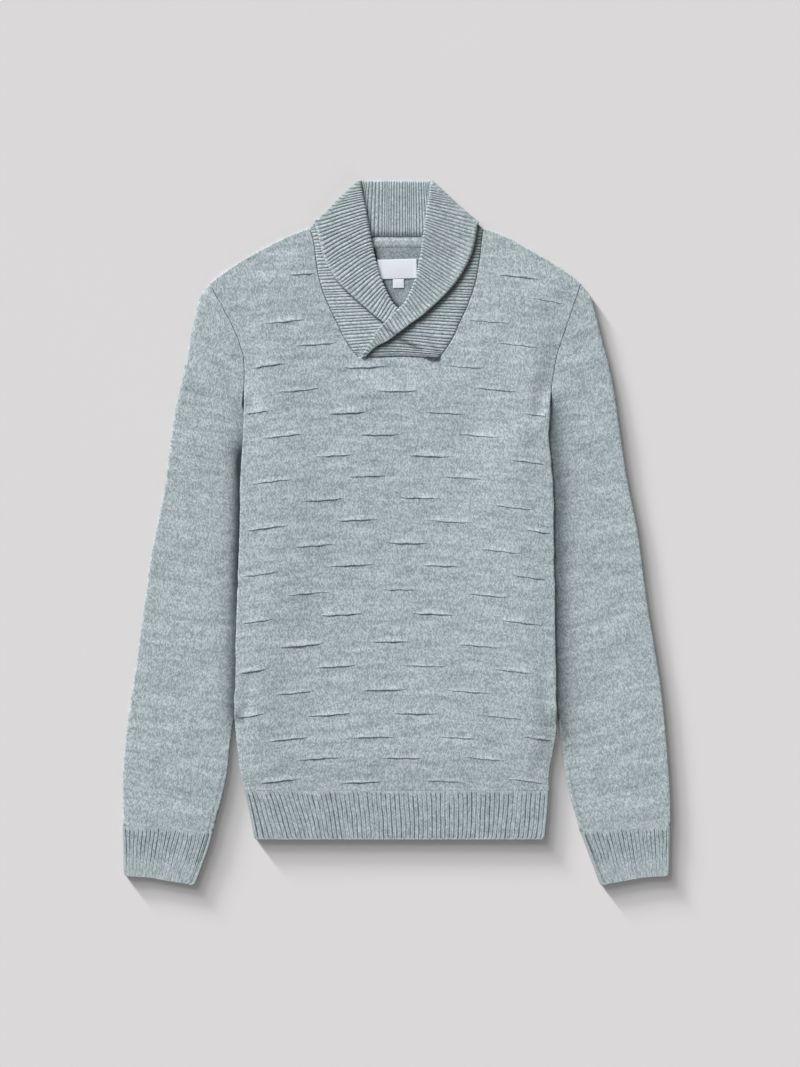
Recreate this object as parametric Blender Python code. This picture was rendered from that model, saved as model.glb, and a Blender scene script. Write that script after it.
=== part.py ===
"""Shawl collar pullover in melange knit, laid flat on its back with the sleeves drawn down beside the body.

Lengths are in millimetres until a mesh is made. +X is the viewer's right, +Y runs up to the collar and +Z
rises from the surface that the garment lies on.
"""
import math
from collections import namedtuple

import bmesh
import bpy
from mathutils import Vector
from mathutils.geometry import delaunay_2d_cdt

MM = 0.001

# Cloth
PANEL_WALL = 2.0
SLEEVE_WALL = 2.0
TAPE_WALL = 0.6
SEAM_GAP = 0.4
LAYER_GAP = 0.4
EDGE_ROUND = 0.7

# Ribbing of the cuffs, the hem and the collar
RIB_PITCH = 4.6
RIB_DEPTH = 0.55
CUFF_WALL = 1.8
HEM_WALL = 2.0

# Body outline, a row for each height from the shoulder tip to the foot of the hem band
BodyRow = namedtuple("BodyRow", "y left right")
BODY = (
    BodyRow(283.9, -210.3, 209.2),
    BodyRow(264.5, -200.1, 202.7),
    BodyRow(246.2, -191.0, 196.7),
    BodyRow(228.0, -183.0, 191.0),
    BodyRow(206.3, -176.1, 184.1),
    BodyRow(190.4, -173.9, 180.7),
    BodyRow(165.3, -173.9, 176.7),
    BodyRow(132.2, -174.4, 175.0),
    BodyRow(104.9, -176.1, 174.4),
    BodyRow(50.2, -178.4, 179.6),
    BodyRow(-8.0, -179.6, 180.1),
    BodyRow(-103.7, -183.0, 181.3),
    BodyRow(-169.9, -184.1, 182.4),
    BodyRow(-206.3, -185.3, 183.5),
    BodyRow(-236.0, -183.0, 183.0),
    BodyRow(-264.5, -177.8, 179.0),
    BodyRow(-294.1, -172.7, 175.6),
    BodyRow(-350.0, -162.4, 169.4),
)
SHOULDER_TIP_Y = 283.9
UNDERARM_Y = 165.3
HEM_SEAM_Y = -294.1
HEM_FOOT_Y = -350.0
SHOULDER_CROWN = 5.0
PANEL_STEP = 24.0
ARMHOLE_STEPS = 12
PUFF = 2.4
PUFF_REACH = 45.0

# Sleeve, a row for each ring from the shoulder to the cuff: its outer and its inner edge, on the right side
SleeveRow = namedtuple("SleeveRow", "place outer_x outer_y inner_x inner_y")
SLEEVE = (
    SleeveRow(0, 210.0, 284.2, 175.0, 165.3),
    SleeveRow(1, 226.0, 253.0, 176.4, 151.6),
    SleeveRow(2, 237.0, 214.0, 173.0, 136.0),
    SleeveRow(3, 246.5, 170.0, 160.0, 114.0),
    SleeveRow(4, 255.0, 122.0, 143.5, 84.0),
    SleeveRow(5, 264.0, 60.0, 138.0, 36.0),
    SleeveRow(6, 276.5, -8.0, 144.0, -25.1),
    SleeveRow(7, 286.7, -76.4, 156.8, -90.1),
    SleeveRow(8, 297.0, -144.8, 171.6, -153.9),
    SleeveRow(9, 306.1, -213.2, 188.7, -224.6),
    SleeveRow(10, 312.4, -281.6, 198.9, -288.4),
    SleeveRow(11, 312.9, -334.0, 209.8, -340.9),
)
CUFF_FOOT = SleeveRow(12, 311.6, -388.2, 232.6, -402.64)
SLEEVE_PUFF = 0.8
SLEEVE_STEPS = 17
SLANT_MOST = 2.2
SLEEVE_HEIGHT = 2 * SLEEVE_WALL + LAYER_GAP
BODY_LIFT = SLEEVE_HEIGHT + SLEEVE_PUFF + SEAM_GAP
LIFT_SLOPE = 15.0
LIFT_TOP_Y = 150.0
LIFT_FOOT_Y = -203.0
LIFT_RUN = 16.0
SLOPE_CURVED_Y = 60.0

# Pin tucks on the front: short folds in a brick pattern that leans to the right on its way up
TUCK_ORIGIN = Vector((-6.7, -126.0))
TUCK_COLUMN = 50.6
TUCK_ODD_SHIFT = -8.0
TUCK_ROW = 52.5
TUCK_LEAN = 0.17
TUCK_LEAN_GAIN = 0.0004
TUCK_LEAN_CURVE = 1.0e-6
TUCK_LENGTH = 40.0
TUCK_SHORTEST = 20.0
TUCK_RISE = 1.2
TUCK_BACK = 6.0
TUCK_FACE = 0.9
TUCK_FAN = -0.0009
TUCK_CLEAR = 5.0

# Collar: one ribbed band. Its right half is tabled as if spread flat in the plane of the front. Each row
# is one rib: where it meets the neck seam, where it rolls over and where it ends at the free edge.
NECK_CENTRE = 2.3
Rib = namedtuple("Rib", "seam_x seam_y roll_x roll_y edge_x edge_y")
COLLAR = (
    Rib(46.2, 199.8, -41.0, 199.8, -37.0, 200.3),
    Rib(54.2, 209.8, -30.2, 217.7, -26.0, 211.0),
    Rib(63.3, 225.7, -21.7, 231.4, -12.4, 218.3),
    Rib(67.8, 237.1, -11.4, 242.3, 1.5, 228.5),
    Rib(73.5, 249.7, -0.6, 253.1, 16.4, 239.7),
    Rib(78.7, 262.2, 9.7, 264.5, 29.8, 249.9),
    Rib(86.1, 285.0, 20.5, 288.4, 53.5, 272.3),
    Rib(90.6, 308.9, 25.7, 311.8, 69.7, 293.1),
    Rib(93.5, 334.0, 29.6, 338.0, 83.1, 320.7),
    Rib(96.4, 362.0, 33.6, 367.7, 90.3, 362.6),
    Rib(98.0, 390.2, 37.6, 396.4, 92.1, 390.6),
    Rib(97.0, 415.7, 36.0, 411.7, 90.9, 415.1),
    Rib(94.8, 442.6, 33.5, 436.5, 88.8, 442.1),
)
COLLAR_RIBS_HALF = 56
COLLAR_HALF_WALL = 0.9
FOLD_POINT = Vector((88.8, 350.1))
FOLD_OUT = Vector((0.671, 0.741)).normalized()
FOLD_RADIUS = 1.3
FOLD_LENGTH = math.pi * FOLD_RADIUS
FOLD_STEPS = (0.0, 0.25, 0.5, 0.75, 1.0)
SETTLE_FROM_Y = 344.0
SETTLE_TO_Y = 314.0
NECK_CORNER = Vector((1.2, -1.1))
SEAM_RAMP = 5.5
BAND_GAP_END = 1.95
BAND_GAP = 2.2
ROLL_EXTRA = 0.8
FRONT_LEVEL = PANEL_WALL + LAYER_GAP + PANEL_WALL / 2
STAND_RISE = 0.9
WRAP_UNDER = 2.25
WRAP_OVER = 3.05

# Trim inside the neck
TAPE = (-26.0, 31.0, 325.5, 336.6)
LABEL = (-21.1, 23.4, 290.0, 312.4)
SIZE_TAB = (-4.0, 8.6, 279.3, 289.6)

SAGE = (0.462, 0.545, 0.542, 1.0)
SAGE_LIGHT = (0.51, 0.585, 0.58, 1.0)
WHITE = (0.85, 0.87, 0.9, 1.0)


# --- curves and blends -----------------------------------------------------------------------------------

def smooth(low, high, value):
    """0 below low, 1 above high, and an even ease between."""
    share = min(1.0, max(0.0, (value - low) / (high - low)))
    return share * share * (3.0 - 2.0 * share)


def blend(first, second, share):
    return first + (second - first) * share


def curve(rows, key, column):
    """A smooth curve through one column of a table, read against another of its columns."""
    knots = sorted((getattr(row, key), getattr(row, column)) for row in rows)

    def slope(index):
        before = knots[max(0, index - 1)]
        after = knots[min(len(knots) - 1, index + 1)]
        return (after[1] - before[1]) / (after[0] - before[0])

    def value(at):
        at = min(knots[-1][0], max(knots[0][0], at))
        index = 0
        while index < len(knots) - 2 and knots[index + 1][0] < at:
            index += 1
        (x0, y0), (x1, y1) = knots[index], knots[index + 1]
        run = x1 - x0
        share = (at - x0) / run
        rest = 1.0 - share
        start = y0 + slope(index) * run * share
        finish = y1 - slope(index + 1) * run * rest
        ease = share * share * (3.0 - 2.0 * share)
        return blend(blend(y0, start, rest), blend(y1, finish, share), ease)

    return value


body_left = curve(BODY, "y", "left")
body_right = curve(BODY, "y", "right")
sleeve_at = {name: curve(SLEEVE, "place", name) for name in SleeveRow._fields[1:]}
sleeve_inner_by_y = curve(SLEEVE[1:], "inner_y", "inner_x")


def body_edge(side, y):
    return body_right(y) if side > 0 else body_left(y)


# --- meshes ----------------------------------------------------------------------------------------------

def material(name, colour, roughness):
    made = bpy.data.materials.new(name)
    made.use_nodes = True
    shader = made.node_tree.nodes["Principled BSDF"]
    shader.inputs["Base Color"].default_value = colour
    shader.inputs["Roughness"].default_value = roughness
    shader.inputs["Metallic"].default_value = 0.0
    return made


def node(name, bm, finish):
    """Turns a bmesh in millimetres into an object in metres, its faces pointing out."""
    bmesh.ops.recalc_face_normals(bm, faces=bm.faces)
    bmesh.ops.scale(bm, vec=(MM, MM, MM), verts=bm.verts)
    mesh = bpy.data.meshes.new(name)
    bm.to_mesh(mesh)
    bm.free()
    mesh.materials.append(finish)
    made = bpy.data.objects.new(name, mesh)
    bpy.context.scene.collection.objects.link(made)
    return made


def zip_runs(bm, first, second, closed=False):
    """Fills between two runs of (place, vertex) with triangles, each step along the run that lags behind.

    Where both are level, the shorter diagonal is taken.
    """
    if closed:
        first = first + [(first[0][0] + 1.0, first[0][1])]
        second = second + [(second[0][0] + 1.0, second[0][1])]
    a = b = 0
    while a < len(first) - 1 or b < len(second) - 1:
        if a == len(first) - 1 or b == len(second) - 1:
            step_a = b == len(second) - 1
        elif abs(first[a + 1][0] - second[b + 1][0]) < 1e-6:
            across_a = (first[a + 1][1].co - second[b][1].co).length
            step_a = across_a <= (second[b + 1][1].co - first[a][1].co).length
        else:
            step_a = first[a + 1][0] < second[b + 1][0]
        if step_a:
            corners = (first[a][1], first[a + 1][1], second[b][1])
            a += 1
        else:
            corners = (first[a][1], second[b + 1][1], second[b][1])
            b += 1
        if len(set(corners)) == 3:
            bm.faces.new(corners)


def zip_matched(bm, first, second):
    """Fills between two columns of (row, place, vertex), level at every row that both of them have."""
    rows = {row: index for index, (row, _, _) in enumerate(second)}
    a = b = 0
    for index, (row, _, _) in enumerate(first):
        match = rows.get(row, -1)
        if match < b:
            continue
        zip_runs(bm, stretch(first, a, index), stretch(second, b, match))
        a, b = index, match


def stretch(column, start, finish):
    """Part of a column as a run from 0 to 1."""
    low = column[start][1]
    length = max(1e-9, column[finish][1] - low)
    return [((place - low) / length, vertex) for _, place, vertex in column[start:finish + 1]]


def ribs_between(start, finish, pitch):
    """Shares from 0 to 1 for the crest and the groove of every rib on a width, with its height there."""
    count = max(2, round(abs(finish - start) / pitch))
    return [(step / (2 * count), 1.0 if step % 2 else 0.0) for step in range(2 * count + 1)]


# --- body panels -----------------------------------------------------------------------------------------

def lift(x, y):
    """How far the body stands over the floor where it lies on a sleeve."""
    side = 1 if x > 0 else -1
    inside = abs(x) - sleeve_inner_by_y(y)
    over = smooth(-LIFT_SLOPE, -1.0, inside)
    window = smooth(LIFT_TOP_Y + LIFT_RUN, LIFT_TOP_Y, y) * smooth(LIFT_FOOT_Y - LIFT_RUN, LIFT_FOOT_Y, y)
    return BODY_LIFT * over * window * (abs(x) < abs(body_edge(side, y)) + LIFT_SLOPE)


def shoulder(side, share):
    """A point of the shoulder line, from the neck at 0 to the sleeve at 1."""
    neck = neck_corner(side)
    tip = Vector((body_edge(side, SHOULDER_TIP_Y), SHOULDER_TIP_Y))
    crown = SHOULDER_CROWN * (1.0 - (2.0 * share - 1.0) ** 4)
    return neck.lerp(tip, share) + Vector((0.0, crown))


def panel_outline(neckline):
    """Round the panel, anticlockwise from the left foot: foot, right side, shoulders, neck, left side."""
    armhole_step = (SHOULDER_TIP_Y - UNDERARM_Y) / ARMHOLE_STEPS
    heights = [UNDERARM_Y + armhole_step * step for step in range(ARMHOLE_STEPS + 1)]
    slope = [LIFT_TOP_Y + LIFT_RUN / 2, LIFT_TOP_Y]
    slope += [LIFT_FOOT_Y - LIFT_RUN * share for share in (0.0, 0.5, 1.0)]
    heights += slope
    y = HEM_SEAM_Y
    while y < LIFT_TOP_Y - PANEL_STEP / 2:
        if all(abs(y - other) > PANEL_STEP / 3 for other in slope):
            heights.append(y)
        y += PANEL_STEP
    heights = sorted(heights)
    ends = (body_left(HEM_SEAM_Y), body_right(HEM_SEAM_Y))
    foot = [(blend(*ends, step / 12), HEM_SEAM_Y) for step in range(1, 12)]
    right = [(body_right(y), y) for y in heights]
    left = [(body_left(y), y) for y in reversed(heights)]
    right_shoulder = [shoulder(1, share / 6) for share in range(5, -1, -1)]
    left_shoulder = [shoulder(-1, share / 6) for share in range(0, 6)]
    run = foot + right + right_shoulder + neckline + left_shoulder + left
    return [Vector(point).to_2d() for point in run]


def drawn_in(outline, inset):
    """The outline moved inward."""
    moved = []
    for index, point in enumerate(outline):
        before = outline[index - 1]
        after = outline[(index + 1) % len(outline)]
        ahead = (after - point).normalized()
        behind = (point - before).normalized()
        inward = Vector((-ahead.y - behind.y, ahead.x + behind.x)).normalized()
        sharp = max(0.6, inward.dot(Vector((-ahead.y, ahead.x))))
        moved.append(point + inward * inset / sharp)
    return moved


def clearance(outline, point):
    """Distance from the point to the outline, negative outside."""
    nearest = 1e9
    crossings = 0
    for index, start in enumerate(outline):
        finish = outline[(index + 1) % len(outline)]
        along = finish - start
        share = min(1.0, max(0.0, (point - start).dot(along) / along.length_squared))
        nearest = min(nearest, (start + along * share - point).length)
        if (start.y > point.y) != (finish.y > point.y):
            crossings += point.x < start.x + (point.y - start.y) * along.x / along.y
    return nearest if crossings % 2 else -nearest


def puff(outline, point):
    """The air between front and back, none at the edges."""
    return PUFF * smooth(0.0, PUFF_REACH, clearance(outline, point))


def fill(bm, rim, height, marks, creases=()):
    """A surface inside a rim of vertices, through the marked points. A crease is a chain of marks."""
    points = [vertex.co.to_2d() for vertex in rim] + [Vector(mark[:2]) for mark in marks]
    size = len(rim)
    edges = [(index, (index + 1) % size) for index in range(size)]
    edges += [(size + a, size + b) for chain in creases for a, b in zip(chain, chain[1:])]
    found = delaunay_2d_cdt(points, edges, [list(range(size))], 1, 1e-4, True)
    places, faces, origins = found[0], found[2], found[3]
    corners = []
    for place, origin in zip(places, origins):
        first = min(origin) if origin else None
        if first is not None and first < size:
            corners.append(rim[first])
            continue
        rise = marks[first - size][2] if first is not None else 0.0
        corners.append(bm.verts.new((place.x, place.y, height(place) + rise)))
    for face in faces:
        middle = sum((places[index] for index in face), Vector((0.0, 0.0))) / 3
        if clearance(points[:size], middle) > 0.0:
            bm.faces.new([corners[index] for index in face])


def grid_marks(outline, step, clear):
    """Plain points inside the outline, and closer ones where the body comes down off a sleeve."""
    marks = []
    y = HEM_SEAM_Y + step
    row = 0
    while y < SHOULDER_TIP_Y + 60.0:
        x = -200.0 + (row % 2) * step / 2
        while x < 200.0:
            point = Vector((x, y))
            if clearance(outline, point) > clear and not near_slope(x, y):
                marks.append((x, y, 0.0))
            x += step
        y += step * 0.87
        row += 1
    y = LIFT_TOP_Y + LIFT_RUN
    while y > LIFT_FOOT_Y - LIFT_RUN - 1.0:
        for side in (1, -1):
            for inside in (-LIFT_SLOPE, -10.5, -5.5, -1.0):
                point = Vector((side * (sleeve_inner_by_y(y) + inside), y))
                if clearance(outline, point) > 4.0:
                    marks.append((point.x, point.y, 0.0))
        if y > LIFT_TOP_Y - 5.0 or y < LIFT_FOOT_Y + 5.0:
            y -= LIFT_RUN / 2
        else:
            y -= 12.0 if y > SLOPE_CURVED_Y else 24.0
    return marks


def near_slope(x, y):
    inside = abs(x) - sleeve_inner_by_y(y)
    return LIFT_FOOT_Y - LIFT_RUN < y < LIFT_TOP_Y + LIFT_RUN and -LIFT_SLOPE - 8.0 < inside < 8.0


def panel(name, neckline, bottom, top, top_marks, creases, finish):
    """A panel as one wall: bottom and top surfaces, and a rounded edge between them."""
    outline = panel_outline(neckline)
    inner = drawn_in(outline, EDGE_ROUND)
    bm = bmesh.new()
    low = [bm.verts.new((point.x, point.y, bottom(point))) for point in inner]
    middle = [bm.verts.new((point.x, point.y, blend(bottom(point), top(point), 0.5))) for point in outline]
    high = [bm.verts.new((point.x, point.y, top(point))) for point in inner]
    size = len(outline)
    for lower, upper in ((low, middle), (middle, high)):
        for index in range(size):
            following = (index + 1) % size
            bm.faces.new((lower[index], lower[following], upper[following], upper[index]))
    marks = grid_marks(outline, 46.0, 14.0)
    fill(bm, low, bottom, marks)
    if top_marks is None:
        fill(bm, high, top, marks)
    else:
        clear_marks = [mark for mark in marks if free_of(top_marks, mark)]
        offset = len(clear_marks)
        chains = [[offset + index for index in chain] for chain in creases]
        fill(bm, high, top, clear_marks + top_marks, chains)
    return node(name, bm, finish)


def free_of(others, mark):
    """Whether a plain point keeps off the tucks' points."""
    return all(abs(mark[0] - x) > 5.0 or abs(mark[1] - y) > 5.0 for x, y, _ in others)


def tucks(outline):
    """Each tuck as (centre, half lengths to the left and right, direction)."""
    found = []
    for column in range(-4, 5):
        odd = column % 2
        base = TUCK_COLUMN * column + TUCK_ODD_SHIFT * odd
        for row in range(-4, 9):
            rise = TUCK_ROW * (row + 0.5 * odd)
            lean = TUCK_LEAN + TUCK_LEAN_GAIN * base
            x = TUCK_ORIGIN.x + base + rise * lean + TUCK_LEAN_CURVE * rise ** 3
            centre = Vector((x, TUCK_ORIGIN.y + rise))
            angle = TUCK_FAN * centre.x
            ahead = Vector((math.cos(angle), math.sin(angle)))
            ends = []
            for way in (-1.0, 1.0):
                reach = TUCK_LENGTH / 2
                while reach > 0.0 and clearance(outline, centre + ahead * way * reach) < TUCK_CLEAR:
                    reach -= 2.0
                ends.append(reach)
            if sum(ends) >= TUCK_SHORTEST and min(ends) > 0.0:
                found.append((centre, ends[0], ends[1], ahead))
    return found


def tuck_marks(outline):
    """The points of every tuck: a crest line, its foot just below, and the slope that runs up behind it."""
    marks = []
    creases = []
    for centre, left, right, ahead in tucks(outline):
        down = Vector((ahead.y, -ahead.x))
        start = centre - ahead * left
        finish = centre + ahead * right
        first = len(marks)
        ends = [(start.x, start.y, 0.0), (finish.x, finish.y, 0.0)]
        marks += ends
        for share in (0.18, 0.5, 0.82):
            point = start.lerp(finish, share)
            marks.append((point.x, point.y, TUCK_RISE))
        for share in (0.18, 0.5, 0.82):
            point = start.lerp(finish, share) + down * TUCK_FACE
            marks.append((point.x, point.y, 0.0))
        for share in (0.2, 0.8):
            point = start.lerp(finish, share) - down * TUCK_BACK
            marks.append((point.x, point.y, 0.0))
        creases.append([first, first + 2, first + 3, first + 4, first + 1])
        creases.append([first, first + 5, first + 6, first + 7, first + 1])
    return marks, creases


# --- collar ----------------------------------------------------------------------------------------------

def arc_places():
    """The place of each tabled rib: its mean distance along the band from the front end."""
    places = [0.0]
    for before, after in zip(COLLAR, COLLAR[1:]):
        seam = math.hypot(after.seam_x - before.seam_x, after.seam_y - before.seam_y)
        roll = math.hypot(after.roll_x - before.roll_x, after.roll_y - before.roll_y)
        places.append(places[-1] + (seam + roll) / 2)
    return places


PlacedRib = namedtuple("PlacedRib", ("place",) + Rib._fields)
PLACED = [PlacedRib(place, *rib) for place, rib in zip(arc_places(), COLLAR)]
BAND_HALF = PLACED[-1].place
band_at = {name: curve(PLACED, "place", name) for name in Rib._fields}


def band_point(name, place):
    return Vector((band_at[name + "_x"](place), band_at[name + "_y"](place)))


roll_x_by_y = curve(COLLAR[:9], "roll_y", "roll_x")
edge_x_by_y = curve(COLLAR[:9], "edge_y", "edge_x")


def past_fold(spread):
    return (spread - FOLD_POINT).dot(FOLD_OUT)


def band_gap(place, share):
    """Distance between stand and fall, fuller towards the roll and flatter at the band's end."""
    full = BAND_GAP + ROLL_EXTRA * smooth(0.5, 1.0, share)
    return blend(BAND_GAP_END, full, smooth(0.0, 40.0, place))


def wrap_lift(plan):
    """How far the right front rises where it lies on the left one."""
    left_roll = -roll_x_by_y(plan.y)
    left_edge = -edge_x_by_y(plan.y)
    on_stand = smooth(-12.0, -1.5, left_roll - plan.x)
    on_fall = smooth(left_edge - 10.0, left_edge - 1.0, plan.x)
    return on_stand * (WRAP_UNDER + WRAP_OVER * on_fall)


def turned(side, spread, height, place, across, share):
    """A collar point from its spot in the spread band: round the side fold and down onto what is below."""
    past = past_fold(spread)
    foot = spread - past * FOLD_OUT
    angle = math.pi * (min(1.0, max(0.0, past / FOLD_LENGTH)) - 0.5)
    straight = max(0.0, -past, past - FOLD_LENGTH)
    plan = foot + FOLD_OUT * ((FOLD_RADIUS + height) * math.cos(angle) - straight)
    ramp = min(1.0, across / SEAM_RAMP)
    back_level = COLLAR_HALF_WALL + band_gap(place, share) * ramp
    z = back_level + FOLD_RADIUS - (FOLD_RADIUS + height) * math.sin(angle)
    if past < 0.0:
        settled = FRONT_LEVEL + STAND_RISE * ramp * smooth(200.0, 218.0, plan.y)
        drop = min(1.0, max(0.0, (SETTLE_FROM_Y - plan.y) / (SETTLE_FROM_Y - SETTLE_TO_Y)))
        z += drop * (settled - back_level - 2 * FOLD_RADIUS)
        if side > 0:
            z += wrap_lift(plan)
    return Vector((NECK_CENTRE + side * plan.x, plan.y, max(0.0, z)))


def fold_rows(start, finish):
    """Rows where a run settles and where it passes round the side fold: (row, share of the run)."""
    low, high = past_fold(start), past_fold(finish)
    rows = [(("fold", step), (FOLD_LENGTH * step - low) / (high - low)) for step in FOLD_STEPS]
    if low < 0.0 and high < 0.0 and abs(finish.y - start.y) > 5.0:
        for y in (SETTLE_FROM_Y, SETTLE_TO_Y):
            rows.append((("settle", y), (y - start.y) / (finish.y - start.y)))
    return rows


def wrap_rows(start, finish):
    """Rows where the right front starts and ends its rise over the left one: (row, share of the run)."""
    limits = (
        lambda point: point.x + roll_x_by_y(point.y) - 12.0,
        lambda point: point.x + roll_x_by_y(point.y) - 6.5,
        lambda point: point.x + roll_x_by_y(point.y) - 1.5,
        lambda point: point.x + edge_x_by_y(point.y) + 1.0,
        lambda point: point.x + edge_x_by_y(point.y) + 10.0,
    )
    rows = []
    steps = 60
    for number, limit in enumerate(limits):
        for step in range(1, steps - 1):
            here = limit(start.lerp(finish, step / steps))
            there = limit(start.lerp(finish, (step + 1) / steps))
            if here * there < 0.0:
                rows.append((("wrap", number), (step + here / (here - there)) / steps))
                break
    return rows


def run_rows(part, side, start, finish, extra):
    """All rows of the stand or the fall in order, without those that nearly repeat another."""
    rows = fold_rows(start, finish) + extra
    if side > 0:
        rows += wrap_rows(start, finish)
    kept = [((part, "start"), 0.0)]
    for row, share in sorted(rows, key=lambda item: item[1]):
        if kept[-1][1] + 0.012 < share < 0.988:
            kept.append(((part,) + row, share))
    return kept + [((part, "finish"), 1.0)]


def band_section(side, place, face, crest):
    """One rib from the seam over the roll to the free edge, on face +1 (neck side) or -1 (outer side)."""
    seam = band_point("seam", place)
    roll = band_point("roll", place)
    edge = band_point("edge", place)
    width = (roll - seam).length
    out = (roll - seam) / width
    offset = COLLAR_HALF_WALL - (0.0 if crest else RIB_DEPTH)
    radius = band_gap(place, 1.0) / 2
    column = []
    for row, share in run_rows("stand", side, seam, roll, [(("ramp",), SEAM_RAMP / width)]):
        point = seam.lerp(roll, share)
        column.append((row, share, turned(side, point, -face * offset, place, share * width, share)))
    for turn in ((1 / 3, 2 / 3) if face > 0 else (0.5,)):
        angle = math.pi * turn
        level = radius - (radius + face * offset) * math.cos(angle)
        point = roll + out * (radius + face * offset) * math.sin(angle)
        column.append((("roll", turn), 1.0 + 0.1 * turn, turned(side, point, level, place, width, 1.0)))
    on_floor = past_fold(roll) > -2.0
    for row, share in run_rows("fall", side, roll, edge, []):
        point = roll.lerp(edge, share)
        from_roll = (point - roll).length
        flat = on_floor or past_fold(point) > 0.0
        proud = COLLAR_HALF_WALL if flat and face > 0 else offset
        under = 1.0 - from_roll / width
        level = band_gap(place, under) + face * proud
        column.append((row, 1.1 + share, turned(side, point, level, place, width - from_roll, under)))
    return column


def place_past(name, past):
    """Where along the band its seam, roll or edge stands this far past the side fold."""
    low, high = PLACED[7].place, PLACED[12].place
    for _ in range(40):
        middle = (low + high) / 2
        if past_fold(band_point(name, middle)) < past:
            low = middle
        else:
            high = middle
    return low


def band_places(face):
    """The columns of one face of half the band, as (share of its length, on a crest or not).

    Every crest and groove where it shows, plain where nothing shows, and closer where the seam, the roll or
    the free edge passes round the side fold.
    """
    shown = PLACED[8].place
    folded = PLACED[11].place
    crossings = []
    for name in ("seam", "roll", "edge"):
        crossings.append([place_past(name, FOLD_LENGTH * step) for step in FOLD_STEPS])
    chosen = []
    for index in range(2 * COLLAR_RIBS_HALF + 1):
        place = BAND_HALF * index / (2 * COLLAR_RIBS_HALF)
        step = 1 if face > 0 or place < shown else 2 if place < folded else 4
        beside = all(not (run[0] - 0.8 < place < run[-1] + 0.8) for run in crossings)
        if index % step == 0 and beside:
            chosen.append((place / BAND_HALF, index % 2 == 0))
    for run in crossings:
        chosen += [(place / BAND_HALF, number % 2 == 0) for number, place in enumerate(run)]
    return sorted(chosen)


def collar(finish):
    """The band is two faces, each a row of ribs from the left end round the back to the right end."""
    bm = bmesh.new()
    faces = {}
    for face in (1, -1):
        half = band_places(face)
        whole = [(-1, share, crest) for share, crest in half]
        whole += [(1, share, crest) for share, crest in reversed(half[:-1])]
        columns = []
        for side, share, crest in whole:
            section = band_section(side, share * BAND_HALF, face, crest)
            if share == 1.0:
                for _, _, point in section:
                    point.x = NECK_CENTRE
            along = share if side < 0 else 2.0 - share
            columns.append((along, [(row, at, bm.verts.new(point)) for row, at, point in section]))
        for (_, first), (_, second) in zip(columns, columns[1:]):
            zip_matched(bm, first, second)
        faces[face] = columns
    for end in (0, -1):
        rims = [[(along, column[end][2]) for along, column in faces[face]] for face in (1, -1)]
        zip_runs(bm, rims[0], rims[1])
        sides = [[(at, vertex) for _, at, vertex in faces[face][end][1]] for face in (1, -1)]
        zip_runs(bm, sides[0], sides[1])
    return node("collar", bm, finish)


def neck_run(start, finish, count):
    """Points of a panel's right neck edge: outside the collar's seam by the gap."""
    points = []
    for step in range(count + 1):
        place = blend(start, finish, step / count)
        ahead = (band_point("seam", place + 0.5) - band_point("seam", place - 0.5)).normalized()
        spread = band_point("seam", place) + Vector((ahead.y, -ahead.x)) * SEAM_GAP
        points.append(turned(-1, spread, COLLAR_HALF_WALL + SEAM_GAP, place, 0.0, 0.0).to_2d())
    return [Vector((NECK_CENTRE - point.x, point.y)) for point in points]


def neck_corner(side):
    """Where a panel's neck edge meets its shoulder, beside the fold of the collar's seam."""
    middle = place_past("seam", FOLD_LENGTH / 2)
    tip = neck_run(middle, middle, 1)[0] + NECK_CORNER
    return Vector((NECK_CENTRE + side * tip.x, tip.y))


def both_sides(run):
    """A right-hand run given for both sides of the neck, the second one backwards."""
    right = [Vector((NECK_CENTRE + point.x, point.y)) for point in run]
    left = [Vector((NECK_CENTRE - point.x, point.y)) for point in reversed(run)]
    return right, left


def front_neckline():
    """From the right shoulder down, across the straight foot and up to the left shoulder."""
    run = neck_run(0.0, place_past("seam", -1.5), 24)
    run[0] = Vector((run[0].x, COLLAR[0].seam_y - SEAM_GAP))
    right, left = both_sides(list(reversed(run)))
    foot = [right[-1].lerp(left[0], step / 5) for step in range(1, 5)]
    return right + foot + left


def back_neckline():
    """From the right shoulder along the shallow back neck to the left shoulder."""
    run = neck_run(place_past("seam", FOLD_LENGTH + 1.5), BAND_HALF - 1.0, 10)
    right, left = both_sides(run)
    return right + left


# --- sleeves, cuffs and hem ------------------------------------------------------------------------------

def flat_ring(line, width, slant, inset, low, top, shares, under, proud, puff_height):
    """Round a flattened tube: each point with its place from 0 to 1, the four sides a quarter each."""
    radius = (top - low) / 2
    edge = slant * (inset + radius)
    flat = width - 2 * edge
    points = []

    def at(place, distance, z):
        spot = line(distance / width)
        points.append((place, Vector((spot.x, spot.y, z))))

    for turn in (0.25, 0.5, 0.75):
        curl = math.pi * turn
        reach = slant * (inset + radius * (1.0 - math.sin(curl)))
        at(0.25 * turn, reach, low + radius * (1.0 - math.cos(curl)))
    for share, crest in shares:
        z = top + puff_height * math.sin(math.pi * share) - proud * (1.0 - crest)
        at(0.25 + 0.25 * share, edge + flat * share, z)
    for turn in (0.25, 0.5, 0.75):
        curl = math.pi * turn
        reach = slant * (inset + radius * (1.0 - math.sin(curl)))
        at(0.5 + 0.25 * turn, width - reach, low + radius * (1.0 + math.cos(curl)))
    for share in under:
        at(0.75 + 0.25 * share, width - edge - flat * share, low)
    return points


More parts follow.
